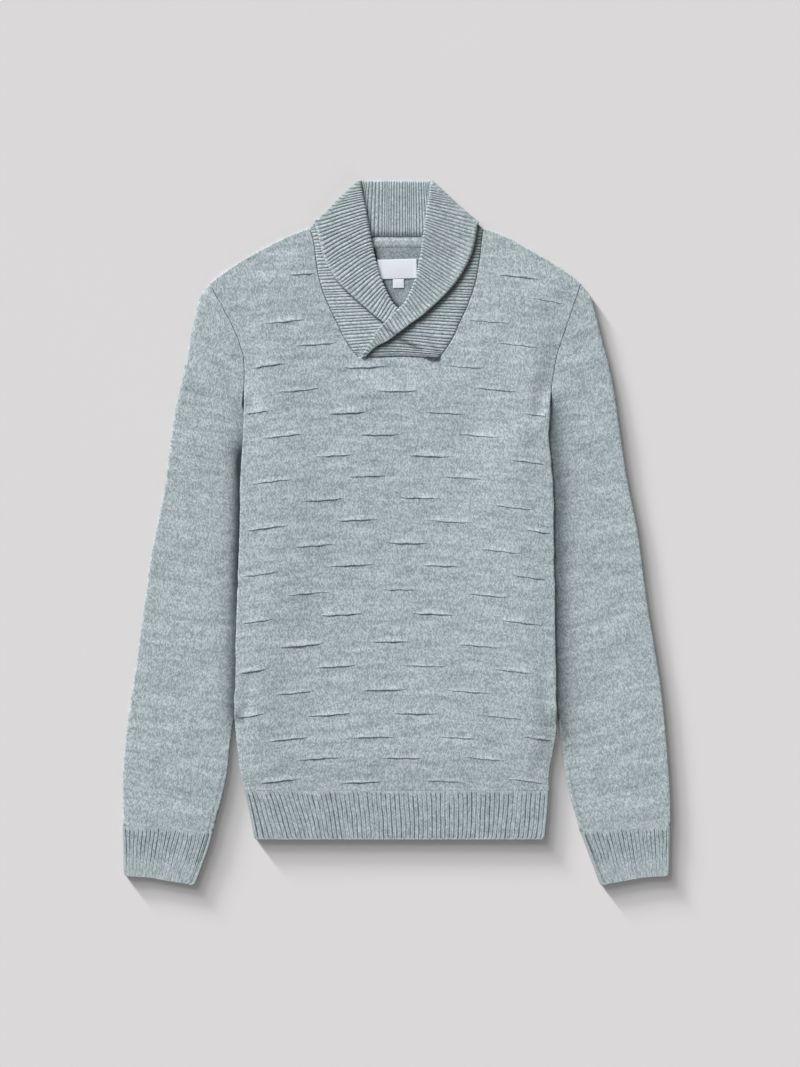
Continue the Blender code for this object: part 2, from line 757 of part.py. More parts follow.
def tube(name, lines, wall, shares, plain, under, puff_height, proud, finish):
    """A flattened tube through a list of lines, a ring for each, open at both ends.

    shares, plain and under are functions of the ring's number: the points over the top, over the inside of
    the top, and along the underside.
    """
    bm = bmesh.new()
    height = 2 * wall + LAYER_GAP
    shells = []
    outer = (0.0, 0.0, height, shares, proud)
    inner = (wall, wall, height - wall, plain, 0.0)
    for inset, low, top, over, depth in (outer, inner):
        rings = []
        for number, (line, width, slant) in enumerate(lines):
            parts = (over(number), under(number))
            ring = flat_ring(line, width, slant, inset, low, top, *parts, depth, puff_height)
            rings.append([(place, bm.verts.new(point)) for place, point in ring])
        for first, second in zip(rings, rings[1:]):
            zip_runs(bm, first, second, closed=True)
        shells.append(rings)
    for end in (0, -1):
        zip_runs(bm, shells[0][end], shells[1][end], closed=True)
    return node(name, bm, finish)


def sleeve_corner(side, edge, place):
    if edge == "inner" and place < 1.5:
        y = sleeve_at["inner_y"](place)
        beside = abs(body_edge(side, y)) + SEAM_GAP + 0.9 * place
        own = sleeve_at["inner_x"](place)
        x = blend(beside, own, smooth(1.0, 1.5, place))
    else:
        x = sleeve_at[edge + "_x"](place)
        y = sleeve_at[edge + "_y"](place)
    return Vector((side * x, y))


def armhole(side, share):
    """A point of the sleeve's head, from the shoulder tip at 0 to the underarm at 1."""
    y = blend(SHOULDER_TIP_Y, UNDERARM_Y, share)
    return Vector((body_edge(side, y) + side * SEAM_GAP, y))


def sleeve_line(side, place):
    """Across the sleeve from its outer to its inner edge, bowed to the armhole at its head."""
    outer = sleeve_corner(side, "outer", place)
    inner = sleeve_corner(side, "inner", place)
    head = (sleeve_corner(side, "outer", 0.0), sleeve_corner(side, "inner", 0.0))
    hold = 1.0 - smooth(0.0, 3.5, place)

    def line(share):
        bow = armhole(side, share) - head[0].lerp(head[1], share)
        return outer.lerp(inner, share) + bow * hold

    ahead = sleeve_corner(side, "inner", place + 0.1) - sleeve_corner(side, "inner", place)
    slant = min(SLANT_MOST, 1.0 / max(0.1, abs((inner - outer).normalized().cross(ahead.normalized()))))
    return line, (outer - inner).length, slant


def sleeve(side, name, finish):
    last = SLEEVE[-1].place
    lines = [sleeve_line(side, last * (step / SLEEVE_STEPS) ** 1.1) for step in range(SLEEVE_STEPS + 1)]

    def parts(number):
        return ARMHOLE_STEPS if number == 0 else 4

    def over(number):
        return [(step / parts(number), 1.0) for step in range(parts(number) + 1)]

    def under(number):
        return [step / parts(number) for step in range(parts(number) + 1)]

    return tube(name, lines, SLEEVE_WALL, over, over, under, SLEEVE_PUFF, 0.0, finish)


def straight_line(start, finish):
    def line(share):
        return start.lerp(finish, share)

    return line, (finish - start).length, 1.0


def cuff(side, name, finish):
    top = SLEEVE[-1]
    foot = CUFF_FOOT
    outer = (Vector((side * top.outer_x, top.outer_y)), Vector((side * foot.outer_x, foot.outer_y)))
    inner = (Vector((side * top.inner_x, top.inner_y)), Vector((side * foot.inner_x, foot.inner_y)))
    down = (outer[1] - outer[0]).normalized()
    lines = []
    for share in (0.0, 0.5, 1.0):
        first = outer[0].lerp(outer[1], share) + down * SEAM_GAP * (1.0 - share)
        second = inner[0].lerp(inner[1], share) + down * SEAM_GAP * (1.0 - share)
        lines.append(straight_line(first, second))
    return ribbed_tube(name, lines, CUFF_WALL, 4, finish)


def ribbed_tube(name, lines, wall, parts, finish):
    """A flattened tube with every rib raised on top, plain inside and plain where it rests."""
    ribs = ribs_between(0.0, lines[0][1] - 2 * wall, RIB_PITCH)
    plain = [(step / parts, 1.0) for step in range(parts + 1)]
    below = [step / parts for step in range(parts + 1)]

    def over(_):
        return ribs

    def inside(number):
        return plain if 0 < number < len(lines) - 1 else ribs

    def under(_):
        return below

    return tube(name, lines, wall, over, inside, under, 0.0, RIB_DEPTH, finish)


def hem_band(finish):
    lines = []
    for y in (HEM_SEAM_Y - SEAM_GAP, blend(HEM_SEAM_Y, HEM_FOOT_Y, 0.5), HEM_FOOT_Y):
        lines.append(straight_line(Vector((body_left(y), y)), Vector((body_right(y), y))))
    return ribbed_tube("hem_band", lines, HEM_WALL, 12, finish)


def patch(name, box, finish):
    """A thin flat strip lying on the inside of the back panel, its edges softened."""
    left, right, low, high = box
    bm = bmesh.new()
    bmesh.ops.create_cube(bm, size=1.0)
    bmesh.ops.scale(bm, vec=(right - left, high - low, TAPE_WALL), verts=bm.verts)
    middle = PANEL_WALL + SEAM_GAP + TAPE_WALL / 2
    bmesh.ops.translate(bm, vec=((left + right) / 2, (low + high) / 2, middle), verts=bm.verts)
    upright = [edge for edge in bm.edges if abs(edge.verts[0].co.z - edge.verts[1].co.z) > 0.1]
    bmesh.ops.bevel(bm, geom=upright, offset=0.8, segments=2, profile=0.5, affect="EDGES", material=-1)
    return node(name, bm, finish)


def clear_scene():
    for existing in list(bpy.data.objects):
        bpy.data.objects.remove(existing)


def main():
    clear_scene()
    knit = material("knit", SAGE, 0.9)
    rib = material("rib", SAGE_LIGHT, 0.9)
    satin = material("label_satin", WHITE, 0.55)

    back_line = back_neckline()
    front_line = front_neckline()
    front_outline = panel_outline(front_line)
    marks, creases = tuck_marks(front_outline)

    def back_bottom(point):
        return lift(point.x, point.y)

    def back_top(point):
        return back_bottom(point) + PANEL_WALL

    def front_bottom(point):
        return back_top(point) + LAYER_GAP + puff(front_outline, point)

    def front_top(point):
        return front_bottom(point) + PANEL_WALL

    panel("body_back", back_line, back_bottom, back_top, None, (), knit)
    panel("body_front", front_line, front_bottom, front_top, marks, creases, knit)
    sleeve(-1, "sleeve_left", knit)
    sleeve(1, "sleeve_right", knit)
    cuff(-1, "cuff_left", rib)
    cuff(1, "cuff_right", rib)
    hem_band(rib)
    collar(rib)
    patch("neck_tape", TAPE, knit)
    patch("neck_label", LABEL, satin)
    patch("size_tab", SIZE_TAB, satin)


main()
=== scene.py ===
"""Shawl collar pullover in melange knit, laid flat on its back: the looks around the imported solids.

Lengths are in millimetres until a mesh is finished. +X is the viewer's right, +Y runs up to the collar and +Z
rises from the surface that the garment lies on.
"""

import math
import random
from collections import namedtuple

import bmesh
import bpy
import numpy as np
from mathutils import Euler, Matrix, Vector, noise


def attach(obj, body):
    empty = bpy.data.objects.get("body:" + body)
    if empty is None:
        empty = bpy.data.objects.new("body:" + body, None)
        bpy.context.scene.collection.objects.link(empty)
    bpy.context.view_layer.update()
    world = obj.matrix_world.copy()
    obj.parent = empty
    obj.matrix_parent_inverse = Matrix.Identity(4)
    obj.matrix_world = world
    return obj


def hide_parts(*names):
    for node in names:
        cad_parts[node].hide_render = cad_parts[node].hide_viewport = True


MM = 0.001
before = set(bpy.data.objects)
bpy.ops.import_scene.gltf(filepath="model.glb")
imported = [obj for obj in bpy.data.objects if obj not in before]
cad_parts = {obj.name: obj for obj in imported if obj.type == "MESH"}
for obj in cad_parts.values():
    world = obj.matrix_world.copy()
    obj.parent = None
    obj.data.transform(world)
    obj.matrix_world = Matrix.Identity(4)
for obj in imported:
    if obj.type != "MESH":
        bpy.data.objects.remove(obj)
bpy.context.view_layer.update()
random.seed(11)

# --- measures, as in the solids ---

PANEL_WALL = 2.0
SLEEVE_WALL = 2.0
CUFF_WALL = 1.8
HEM_WALL = 2.0
TRIM_WALL = 0.6
SEAM_GAP = 0.4
LAYER_GAP = 0.4
RIM_ROUND = 0.8
RIB_NOMINAL = 4.0

BodyRow = namedtuple("BodyRow", "y left right")
BODY = [BodyRow(*row) for row in (
    (283.9, -210.3, 209.2), (264.5, -200.1, 202.7), (246.2, -191.0, 196.7), (228.0, -183.0, 191.0),
    (206.3, -176.1, 184.1), (190.4, -173.9, 180.7), (165.3, -173.9, 176.7), (132.2, -174.4, 175.0),
    (104.9, -176.1, 174.4), (50.2, -178.4, 179.6), (-8.0, -179.6, 180.1), (-103.7, -183.0, 181.3),
    (-169.9, -184.1, 182.4), (-206.3, -185.3, 183.5), (-236.0, -183.0, 183.0), (-264.5, -177.8, 179.0),
    (-294.1, -172.7, 175.6), (-350.0, -162.4, 169.4),
)]
SHOULDER_TIP_Y = 283.9
UNDERARM_Y = 165.3
HEM_SEAM_Y = -294.1
HEM_FOOT_Y = -350.0
SHOULDER_CROWN = 5.0
PUFF = 2.4
PUFF_REACH = 45.0

SleeveRow = namedtuple("SleeveRow", "place outer_x outer_y inner_x inner_y")
SLEEVE = [SleeveRow(place, *row) for place, row in enumerate((
    (210.0, 284.2, 175.0, 165.3), (226.0, 253.0, 176.4, 151.6), (237.0, 214.0, 173.0, 136.0),
    (246.5, 170.0, 160.0, 114.0), (255.0, 122.0, 143.5, 84.0), (264.0, 60.0, 138.0, 36.0),
    (276.5, -8.0, 144.0, -25.1), (286.7, -76.4, 156.8, -90.1), (297.0, -144.8, 171.6, -153.9),
    (306.1, -213.2, 188.7, -224.6), (312.4, -281.6, 198.9, -288.4), (312.9, -334.0, 209.8, -340.9),
))]
SLEEVE_END = SLEEVE[-1].place
CUFF_FOOT = SleeveRow(12, 311.6, -388.2, 232.6, -402.64)
SLEEVE_PUFF = 0.8
SLANT_MOST = 2.2
SLEEVE_HEIGHT = 2 * SLEEVE_WALL + LAYER_GAP
BODY_LIFT = SLEEVE_HEIGHT + SLEEVE_PUFF + SEAM_GAP
LIFT_SLOPE = 15.0
LIFT_TOP_Y = 150.0
LIFT_FOOT_Y = -203.0
LIFT_RUN = 16.0

TUCK_ORIGIN = (-6.7, -126.0)
TUCK_COLUMNS = range(-4, 5)
TUCK_ROWS = range(-4, 9)
TUCK_COLUMN = 50.6
TUCK_ODD_SHIFT = -8.0
TUCK_ROW = 52.5
TUCK_LEAN = 0.17
TUCK_LEAN_GAIN = 0.0004
TUCK_LEAN_CURVE = 1.0e-6
TUCK_LENGTH = 56.0
TUCK_SHORTEST = 24.0
TUCK_SHORTENING = 2.0
TUCK_FAN = -0.0009
TUCK_CLEAR = 3.0

NECK_CENTRE = 2.3
Rib = namedtuple("Rib", "seam_x seam_y roll_x roll_y edge_x edge_y")
COLLAR = [Rib(*row) for row in (
    (46.2, 199.8, -41.0, 199.8, -37.0, 200.3), (54.2, 209.8, -30.2, 217.7, -26.0, 211.0),
    (63.3, 225.7, -21.7, 231.4, -12.4, 218.3), (67.8, 237.1, -11.4, 242.3, 1.5, 228.5),
    (73.5, 249.7, -0.6, 253.1, 16.4, 239.7), (78.7, 262.2, 9.7, 264.5, 29.8, 249.9),
    (86.1, 285.0, 20.5, 288.4, 53.5, 272.3), (90.6, 308.9, 25.7, 311.8, 69.7, 293.1),
    (93.5, 334.0, 29.6, 338.0, 83.1, 320.7), (96.4, 362.0, 33.6, 367.7, 90.3, 362.6),
    (98.0, 390.2, 37.6, 396.4, 92.1, 390.6), (97.0, 415.7, 36.0, 411.7, 90.9, 415.1),
    (94.8, 442.6, 33.5, 436.5, 88.8, 442.1),
)]
COLLAR_HALF_WALL = 0.9
FOLD_POINT = np.array((88.8, 350.1))
FOLD_OUT = np.array((0.671, 0.741)) / math.hypot(0.671, 0.741)
FOLD_RADIUS = 1.3
FOLD_LENGTH = math.pi * FOLD_RADIUS
SETTLE_FROM_Y = 344.0
SETTLE_TO_Y = 314.0
NECK_CORNER = (1.2, -1.1)
SEAM_RAMP = 5.5
BAND_GAP_END = 1.95
BAND_GAP = 2.2
ROLL_EXTRA = 0.8
FRONT_LEVEL = PANEL_WALL + LAYER_GAP + PANEL_WALL / 2
STAND_RISE = 0.9
WRAP_UNDER = 2.25
WRAP_OVER = 3.05

TRIM_LEVEL = PANEL_WALL + LAYER_GAP
TAPE = (-26.0, 31.0, 325.5, 336.6)
LABEL = (-19.9, 23.4, 290.0, 312.4)
SIZE_TAB = (-4.0, 8.6, 279.3, 289.6)


# --- curves and blends ---

def smooth(low, high, value):
    """0 at low and before it, 1 at high and past it, and an even ease between."""
    share = np.clip((value - low) / (high - low), 0.0, 1.0)
    return share * share * (3.0 - 2.0 * share)


def bell(value, middle, reach):
    """1 at the middle, and softly down to nothing on both sides."""
    return np.exp(-(((value - middle) / reach) ** 2))


def blend(first, second, share):
    return first + (second - first) * share


def curve(rows, key, column):
    """A smooth curve through one column of a table, read against another of its columns."""
    knots = np.array(sorted((getattr(row, key), getattr(row, column)) for row in rows))
    at, value = knots[:, 0], knots[:, 1]
    before = np.maximum(np.arange(len(at)) - 1, 0)
    after = np.minimum(np.arange(len(at)) + 1, len(at) - 1)
    slope = (value[after] - value[before]) / (at[after] - at[before])

    def read(places):
        places = np.clip(places, at[0], at[-1])
        low = np.clip(np.searchsorted(at, places) - 1, 0, len(at) - 2)
        run = at[low + 1] - at[low]
        share = (places - at[low]) / run
        rest = 1.0 - share
        start = value[low] + slope[low] * run * share
        finish = value[low + 1] - slope[low + 1] * run * rest
        ease = smooth(0.0, 1.0, share)
        return blend(blend(value[low], start, rest), blend(value[low + 1], finish, share), ease)

    return read


def pair(x, y):
    """Points in the plane, one to a row."""
    x, y = np.broadcast_arrays(np.asarray(x, float), np.asarray(y, float))
    return np.stack([x, y], -1)


def length_of(vectors):
    return np.hypot(vectors[..., 0], vectors[..., 1])


def along(points):
    """A chain of points as a function of the share of its length."""
    points = np.asarray(points, float)
    steps = length_of(np.diff(points, axis=0))
    shares = np.concatenate([[0.0], np.cumsum(steps)]) / steps.sum()

    def read(share):
        return pair(np.interp(share, shares, points[:, 0]), np.interp(share, shares, points[:, 1]))

    return read


def ripple(x, y, long, wide, seed):
    """Soft uneven ground, -1 to 1, drawn out along the rows of the knit."""
    flat = zip(np.ravel(x) / long, np.ravel(y) / wide)
    return np.array([noise.noise(Vector((a, b, seed))) for a, b in flat]).reshape(np.shape(x))


def ripples(table, x, y, seed=0.0):
    """The sum of a table's ripples, each a height, a length, a width and a seed."""
    return sum(height * ripple(x, y, long, wide, own + seed) for height, long, wide, own in table)


def fading(away, layers):
    """A shade that fades with distance: the sum of its layers, each a depth and a reach."""
    return sum(depth * bell(away, 0.0, reach) for depth, reach in layers)


def as_laid(x, y):
    """Where a place of the even garment lies on this one, which doesn't lie quite evenly."""
    out, upper, foot = np.abs(x), smooth(200.0, 290.0, y), bell(y, 199.0, 15.0)
    neck = 1.3 * smooth(20.0, 90.0, x) - 3.0 * smooth(-20.0, -90.0, x)
    left_roll = smooth(262.0, 325.0, y) * smooth(-10.0, -38.0, x) * smooth(-92.0, -52.0, x)
    neck_left = bell(x, -88.0, 13.0) * bell(y, 350.0, 13.0)
    waist = (out < 186.0) * bell(y, -272.0, 30.0)
    left_wrist = smooth(-262.0, -236.0, x) * (x < -205.0) * smooth(-325.0, -365.0, y)
    shoulders = 2.4 * bell(x, -150.0, 42.0) + 1.3 * bell(x, 150.0, 42.0)
    collar_foot = foot * (1.4 + 1.4 * bell(x, 5.0, 20.0) - 0.6 * bell(x, 48.0, 15.0))
    cuff_corner = smooth(280.0, 312.0, out) * smooth(-360.0, -390.0, y)
    return (x + neck * upper - 7.0 * left_roll - 3.4 * neck_left - 2.6 * waist + 3.0 * left_wrist,
            y + shoulders * upper + neck_left + collar_foot - 3.3 * cuff_corner)


body_left = curve(BODY, "y", "left")
body_right = curve(BODY, "y", "right")
sleeve_at = {name: curve(SLEEVE, "place", name) for name in SleeveRow._fields[1:]}
sleeve_inner_by_y = curve(SLEEVE[1:], "inner_y", "inner_x")


def body_edge(side, y):
    return body_right(y) if side > 0 else body_left(y)


BELOW_ARMHOLE = (165.0, 140.0)
SIDE_TURNED_IN = 0.5
SIDE_RIPPLES = ((0.9, 10.0 / 9.0, 13.0, 3.0), (0.7, 2.0, 34.0, 7.0))


def side_edge(side, y):
    """The body's side below the armhole, a little uneven where tucks pull at it."""
    pull = ripples(SIDE_RIPPLES, np.full(np.shape(y), float(side)), y)
    return body_edge(side, y) + (pull - side * SIDE_TURNED_IN) * smooth(*BELOW_ARMHOLE, y)


# --- meshes ---

RIM_STEPS = (0.0, 0.35, 1.0, 2.2)
WELD = 1e-4


def near_ends(length, step, rim=RIM_STEPS):
    """Shares of a length: even steps along the middle and close ones by both ends."""
    count = max(1, round((length - 2 * rim[-1]) / step))
    middle = np.linspace(rim[-1], length - rim[-1], count + 1)
    return np.concatenate([rim[:-1], middle, length - np.array(rim[:-1])[::-1]]) / length


def add_object(name, data):
    made = bpy.data.objects.new(name, data)
    bpy.context.scene.collection.objects.link(made)
    return made


def as_object(bm, name, finish):
    mesh = bpy.data.meshes.new(name)
    bm.to_mesh(mesh)
    bm.free()
    mesh.materials.append(finish)
    return add_object(name, mesh)


def finished(bm, name, finish):
    """Turns a mesh into an object in metres with smooth faces."""
    bmesh.ops.scale(bm, vec=(MM, MM, MM), verts=bm.verts)
    for face in bm.faces:
        face.smooth = True
    return as_object(bm, name, finish)


class Cloth:
    """A mesh that is built up from grids, each moved into place by functions of its columns and rows."""

    def __init__(self):
        self.bm = bmesh.new()
        layers = self.bm.verts.layers
        self.column, self.row, self.under, self.done = (
            layers.int.new(name) for name in ("column", "row", "under", "done"))
        # shade and groove carry painted shade into the colour; groove is the painted shade of rib grooves
        self.shade, self.groove = layers.float.new("shade"), layers.float.new("groove")
        self.uv = self.bm.loops.layers.uv.new("knit")

    def grid(self, columns, rows, hole=None):
        """A grid with its numbers on its vertices, without the vertices that hole(column, row) picks."""
        made = bmesh.ops.create_grid(self.bm, x_segments=columns, y_segments=rows, size=1.0)["verts"]
        for vertex in made:
            vertex[self.column] = round((vertex.co.x + 1.0) / 2.0 * columns)
            vertex[self.row] = round((vertex.co.y + 1.0) / 2.0 * rows)
        if hole is not None:
            gone = [vertex for vertex in made if hole(vertex[self.column], vertex[self.row])]
            bmesh.ops.delete(self.bm, geom=gone, context="VERTS")

    def thicken(self):
        """Doubles the fresh faces into an upper and an under one, joined round their rim."""
        fresh = [face for face in self.bm.faces if not face.verts[0][self.done]]
        made = bmesh.ops.extrude_face_region(self.bm, geom=fresh, use_keep_orig=True)["geom"]
        for item in made:
            if isinstance(item, bmesh.types.BMVert):
                item[self.under] = 1

    def settle(self, place, knit, tint=None):
        """Moves the fresh vertices to place(column, row, face), and gives their faces the knit's own measure.

        face is 1 above and -1 below. tint(column, row, face) gives shade and groove: the painted shade, and the
        painted shade of rib grooves.
        """
        fresh = [vertex for vertex in self.bm.verts if not vertex[self.done]]
        column = np.array([vertex[self.column] for vertex in fresh])
        row = np.array([vertex[self.row] for vertex in fresh])
        face = np.array([-1 if vertex[self.under] else 1 for vertex in fresh])
        spots = place(column, row, face)
        spots[:, 0], spots[:, 1] = as_laid(spots[:, 0], spots[:, 1])
        for vertex, spot in zip(fresh, spots):
            vertex.co = spot
        if tint is not None:
            for vertex, (shade, groove) in zip(fresh, zip(*tint(column, row, face))):
                vertex[self.shade] = shade
                vertex[self.groove] = groove
        spread = knit(*np.meshgrid(np.arange(column.max() + 1), np.arange(row.max() + 1), indexing="ij"))
        for face in self.bm.faces:
            if face.verts[0][self.done]:
                continue
            for loop in face.loops:
                loop[self.uv].uv = spread[loop.vert[self.column], loop.vert[self.row]]
        for vertex in fresh:
            vertex[self.done] = 1

    def piece(self, name, finish):
        """Closes the mesh, points its faces out and makes it an object."""
        bmesh.ops.remove_doubles(self.bm, verts=self.bm.verts, dist=WELD)
        bmesh.ops.recalc_face_normals(self.bm, faces=self.bm.faces)
        made = finished(self.bm, name, finish)
        for spare in ("column", "row", "under", "done"):
            made.data.attributes.remove(made.data.attributes[spare])
        return made


def rounded(distance, wall, rim=RIM_ROUND):
    """Half a wall's thickness, which runs out in a round rim."""
    rest = 1.0 - np.clip(distance / rim, 0.0, 1.0)
    return wall / 2 * np.sqrt(np.maximum(0.0, 1.0 - rest * rest))


# --- body panels ---

def lift(x, y, slope=LIFT_SLOPE, run=LIFT_RUN):
    """How far the body stands over the floor where it lies on a sleeve."""
    inside = np.abs(x) - sleeve_inner_by_y(y)
    over = smooth(-slope, -1.0, inside)
    window = smooth(LIFT_TOP_Y + run, LIFT_TOP_Y, y) * smooth(LIFT_FOOT_Y - run, LIFT_FOOT_Y, y)
    return BODY_LIFT * over * window


def clearance(outline, x, y):
    """Distance to a closed outline, negative outside it."""
    start = np.asarray(outline)
    finish = np.roll(start, -1, axis=0)
    run = finish - start
    length = np.maximum(1e-12, (run * run).sum(1))
    found = []
    points = pair(np.ravel(x), np.ravel(y))
    for part in np.array_split(points, max(1, len(points) // 2000)):
        px, py = part.T
        dx = px[:, None] - start[:, 0]
        dy = py[:, None] - start[:, 1]
        share = np.clip((dx * run[:, 0] + dy * run[:, 1]) / length, 0.0, 1.0)
        nearest = np.hypot(dx - share * run[:, 0], dy - share * run[:, 1]).min(1)
        spans = (start[:, 1] > py[:, None]) != (finish[:, 1] > py[:, None])
        rise = np.where(run[:, 1] == 0.0, 1.0, run[:, 1])
        right = px[:, None] < start[:, 0] + dy * run[:, 0] / rise
        found.append(np.where((spans & right).sum(1) % 2 == 1, nearest, -nearest))
    return np.concatenate(found).reshape(np.shape(x))


def coons(left, right, foot, top, across, up):
    """Points of a patch between four edges."""
    a, u = across[..., None], up[..., None]
    sides = (1 - a) * left(up) + a * right(up) + (1 - u) * foot(across) + u * top(across)
    corners = (1 - a) * (1 - u) * left(0.0) + a * (1 - u) * right(0.0)
    return sides - corners - (1 - a) * u * left(1.0) - a * u * right(1.0)


def side_line(side):
    """The body's side from the hem's seam to the shoulder, wavy below the armhole."""
    def read(share):
        y = blend(HEM_SEAM_Y, SHOULDER_TIP_Y, np.asarray(share, float))
        return pair(side_edge(side, y), y)

    return read


def shoulder_chain(side):
    """The shoulder line from the neck to the sleeve."""
    share = np.linspace(0.0, 1.0, 25)
    neck = neck_corner(side)
    tip = np.array((float(body_edge(side, SHOULDER_TIP_Y)), SHOULDER_TIP_Y))
    crown = SHOULDER_CROWN * (1.0 - (2.0 * share - 1.0) ** 4)
    return neck + (tip - neck) * share[:, None] + pair(0.0, crown)


# Soft folds in the body: from, to, half width, height
FRONT_FOLDS = (
    ((-134.0, 62.0), (-143.0, -292.0), 24.0, -0.35),
    ((-104.0, 40.0), (-112.0, -280.0), 22.0, 0.15),
    ((-40.0, 150.0), (-52.0, -120.0), 28.0, 0.3),
    ((34.0, 120.0), (22.0, -290.0), 20.0, -0.22),
    ((66.0, 100.0), (60.0, -280.0), 24.0, 0.2),
    ((-150.0, 236.0), (-96.0, 186.0), 14.0, -0.3),
    ((152.0, 232.0), (92.0, 180.0), 14.0, -0.3),
    ((-172.0, 140.0), (-118.0, 108.0), 13.0, -0.35),
    ((172.0, 144.0), (112.0, 116.0), 13.0, -0.35),
    ((-168.0, -270.0), (-60.0, -284.0), 9.0, 0.3),
    ((168.0, -268.0), (40.0, -284.0), 9.0, 0.3),
)
BACK_FOLDS = (
    ((-120.0, 190.0), (-92.0, -250.0), 20.0, 0.175),
    ((110.0, 200.0), (84.0, -240.0), 20.0, 0.175),
    ((-60.0, 60.0), (-48.0, -280.0), 16.0, -0.125),
)
FOLD_SWAY = 4.0
FOLD_STARTS = (-0.1, 0.3)
FOLD_ENDS = (1.1, 0.7)


def folds(table, x, y):
    """Soft uneven troughs and ridges, each thickest at its middle."""
    height = np.zeros(np.shape(x))
    for (x0, y0), (x1, y1), half, rise in table:
        run = np.array((x1 - x0, y1 - y0))
        length = np.hypot(*run)
        share = ((x - x0) * run[0] + (y - y0) * run[1]) / length**2
        aside = ((x - x0) * run[1] - (y - y0) * run[0]) / length
        aside = aside + FOLD_SWAY * np.sin(5.0 * share + x0)
        height += rise * smooth(*FOLD_STARTS, share) * smooth(*FOLD_ENDS, share) * bell(aside, 0.0, half)
    return height


def knit_rows(x, y):
    """The knit's own measure on the body: its rows fan as the tucks do."""
    return pair(x, y - TUCK_FAN / 2 * x * x)


FRONT_RIPPLES = ((0.34, 34.0, 9.0, 1.0), (0.15, 16.0, 5.5, 4.0))
FRONT_LIFT_SLOPE = 80.0
FRONT_LIFT_RUN = 110.0
FRONT_LIFT_REACH = 26.0
SIDE_SEAM_DROP = 0.5
SIDE_SEAM_REACH = 2.2
SIDE_SEAM_STARTS = (UNDERARM_Y + 5.0, UNDERARM_Y - 5.0)


def front_mid(outline, x, y):
    """The middle of the front's wall: over the back, puffed with air, and let down at the side seams."""
    inside = clearance(outline, x, y)
    open_share = smooth(0.0, PUFF_REACH, inside)
    aside = np.minimum(np.abs(x - body_left(y)), np.abs(x - body_right(y)))
    down = SIDE_SEAM_DROP * smooth(SIDE_SEAM_REACH, 0.0, aside) * smooth(*SIDE_SEAM_STARTS, y)
    soft = ripples(FRONT_RIPPLES, x, knit_rows(x, y)[..., 1])
    soft = soft * (0.25 + 0.75 * smooth(0.0, 14.0, inside)) * smooth(0.0, 3.0, inside)
    close, loose = lift(x, y), lift(x, y, FRONT_LIFT_SLOPE, FRONT_LIFT_RUN)
    draped = blend(close, loose, smooth(0.0, FRONT_LIFT_REACH, aside))
    return draped + FRONT_LEVEL + PUFF * open_share + folds(FRONT_FOLDS, x, y) * open_share + soft - down


OPEN_FOOT = 15.0


def make_panel(name, size, spot, outline, level, tint=None):
    """A panel with its points at spot(column, row) and the middle of its wall at level(x, y, inside, face)."""
    cloth = Cloth()
    cloth.grid(*size)
    cloth.thicken()
    # the knit goes on below the hem's seam, so there is no rim there
    sewn = outline - pair(0.0, np.where(outline[:, 1] < HEM_SEAM_Y + 0.01, OPEN_FOOT, 0.0))

    def place(column, row, face):
        x, y = spot(column, row).T
        inside = np.maximum(0.0, clearance(sewn, x, y))
        return np.stack([x, y, level(x, y, inside, face) + face * rounded(inside, PANEL_WALL)], 1)

    cloth.settle(place, lambda column, row: knit_rows(*np.moveaxis(spot(column, row), -1, 0)), tint)
    return cloth.piece(name, melange)


# The back's grid: the length and step of its even lines, and the close ones where it shows inside the neck
BACK_ACROSS = ((365.0, 5.2), (0.37, 0.63, 54))
BACK_UP = ((600.0, 3.8), (0.79, 0.985, 64))
BACK_RIPPLES = ((0.16, 30.0, 10.0, 6.0),)
# Painted shade on the back inside the neck, where the collar keeps the light off: within this half width of the
# centre, above this height, and how dark
NECK_HALF_WIDTH = 48.0
NECK_INSIDE_Y = 205.0
NECK_SHADE = 0.36


def make_back():
    neck = along(np.concatenate([
        shoulder_chain(-1)[::-1], back_neckline()[::-1], shoulder_chain(1)]))
    left, right = side_line(-1), side_line(1)
    foot = along([left(0.0), right(0.0)])
    across, up = (np.unique(np.concatenate([near_ends(*even), np.linspace(*close)]))
                  for even, close in (BACK_ACROSS, BACK_UP))
    share = np.linspace(0.0, 1.0, 160)
    outline = np.concatenate([foot(share), right(share), neck(share[::-1]), left(share[::-1])])

    def spot(column, row):
        return coons(left, right, foot, neck, across[column], up[row])

    def level(x, y, inside, face):
        sag = ripples(BACK_RIPPLES, x, y) + folds(BACK_FOLDS, x, y)
        return lift(x, y) + PANEL_WALL / 2 + sag * smooth(0.0, 20.0, inside) * (face > 0)

    def tint(column, row, face):
        x, y = spot(column, row).T
        shade = np.zeros(len(x))
        # painted shade inside the neck, darker in the crease by the roll
        seen = (np.abs(x - NECK_CENTRE) < NECK_HALF_WIDTH) & (y > NECK_INSIDE_Y) & (face > 0)
        shade[seen] = NECK_SHADE + roll_crease_shade(x[seen], y[seen])
        return shade, np.zeros(len(x))

    return make_panel("back_panel", (len(across) - 1, len(up) - 1), spot, outline, level, tint)


LOBE_WIDTH = 129.0
LOBE_HEIGHT = 120.0
NECK_FOOT_WIDTH = 88.0
FRONT_ACROSS = 5.0
FRONT_UP = 2.7
FRONT_PARTING = (0.36, 0.64)


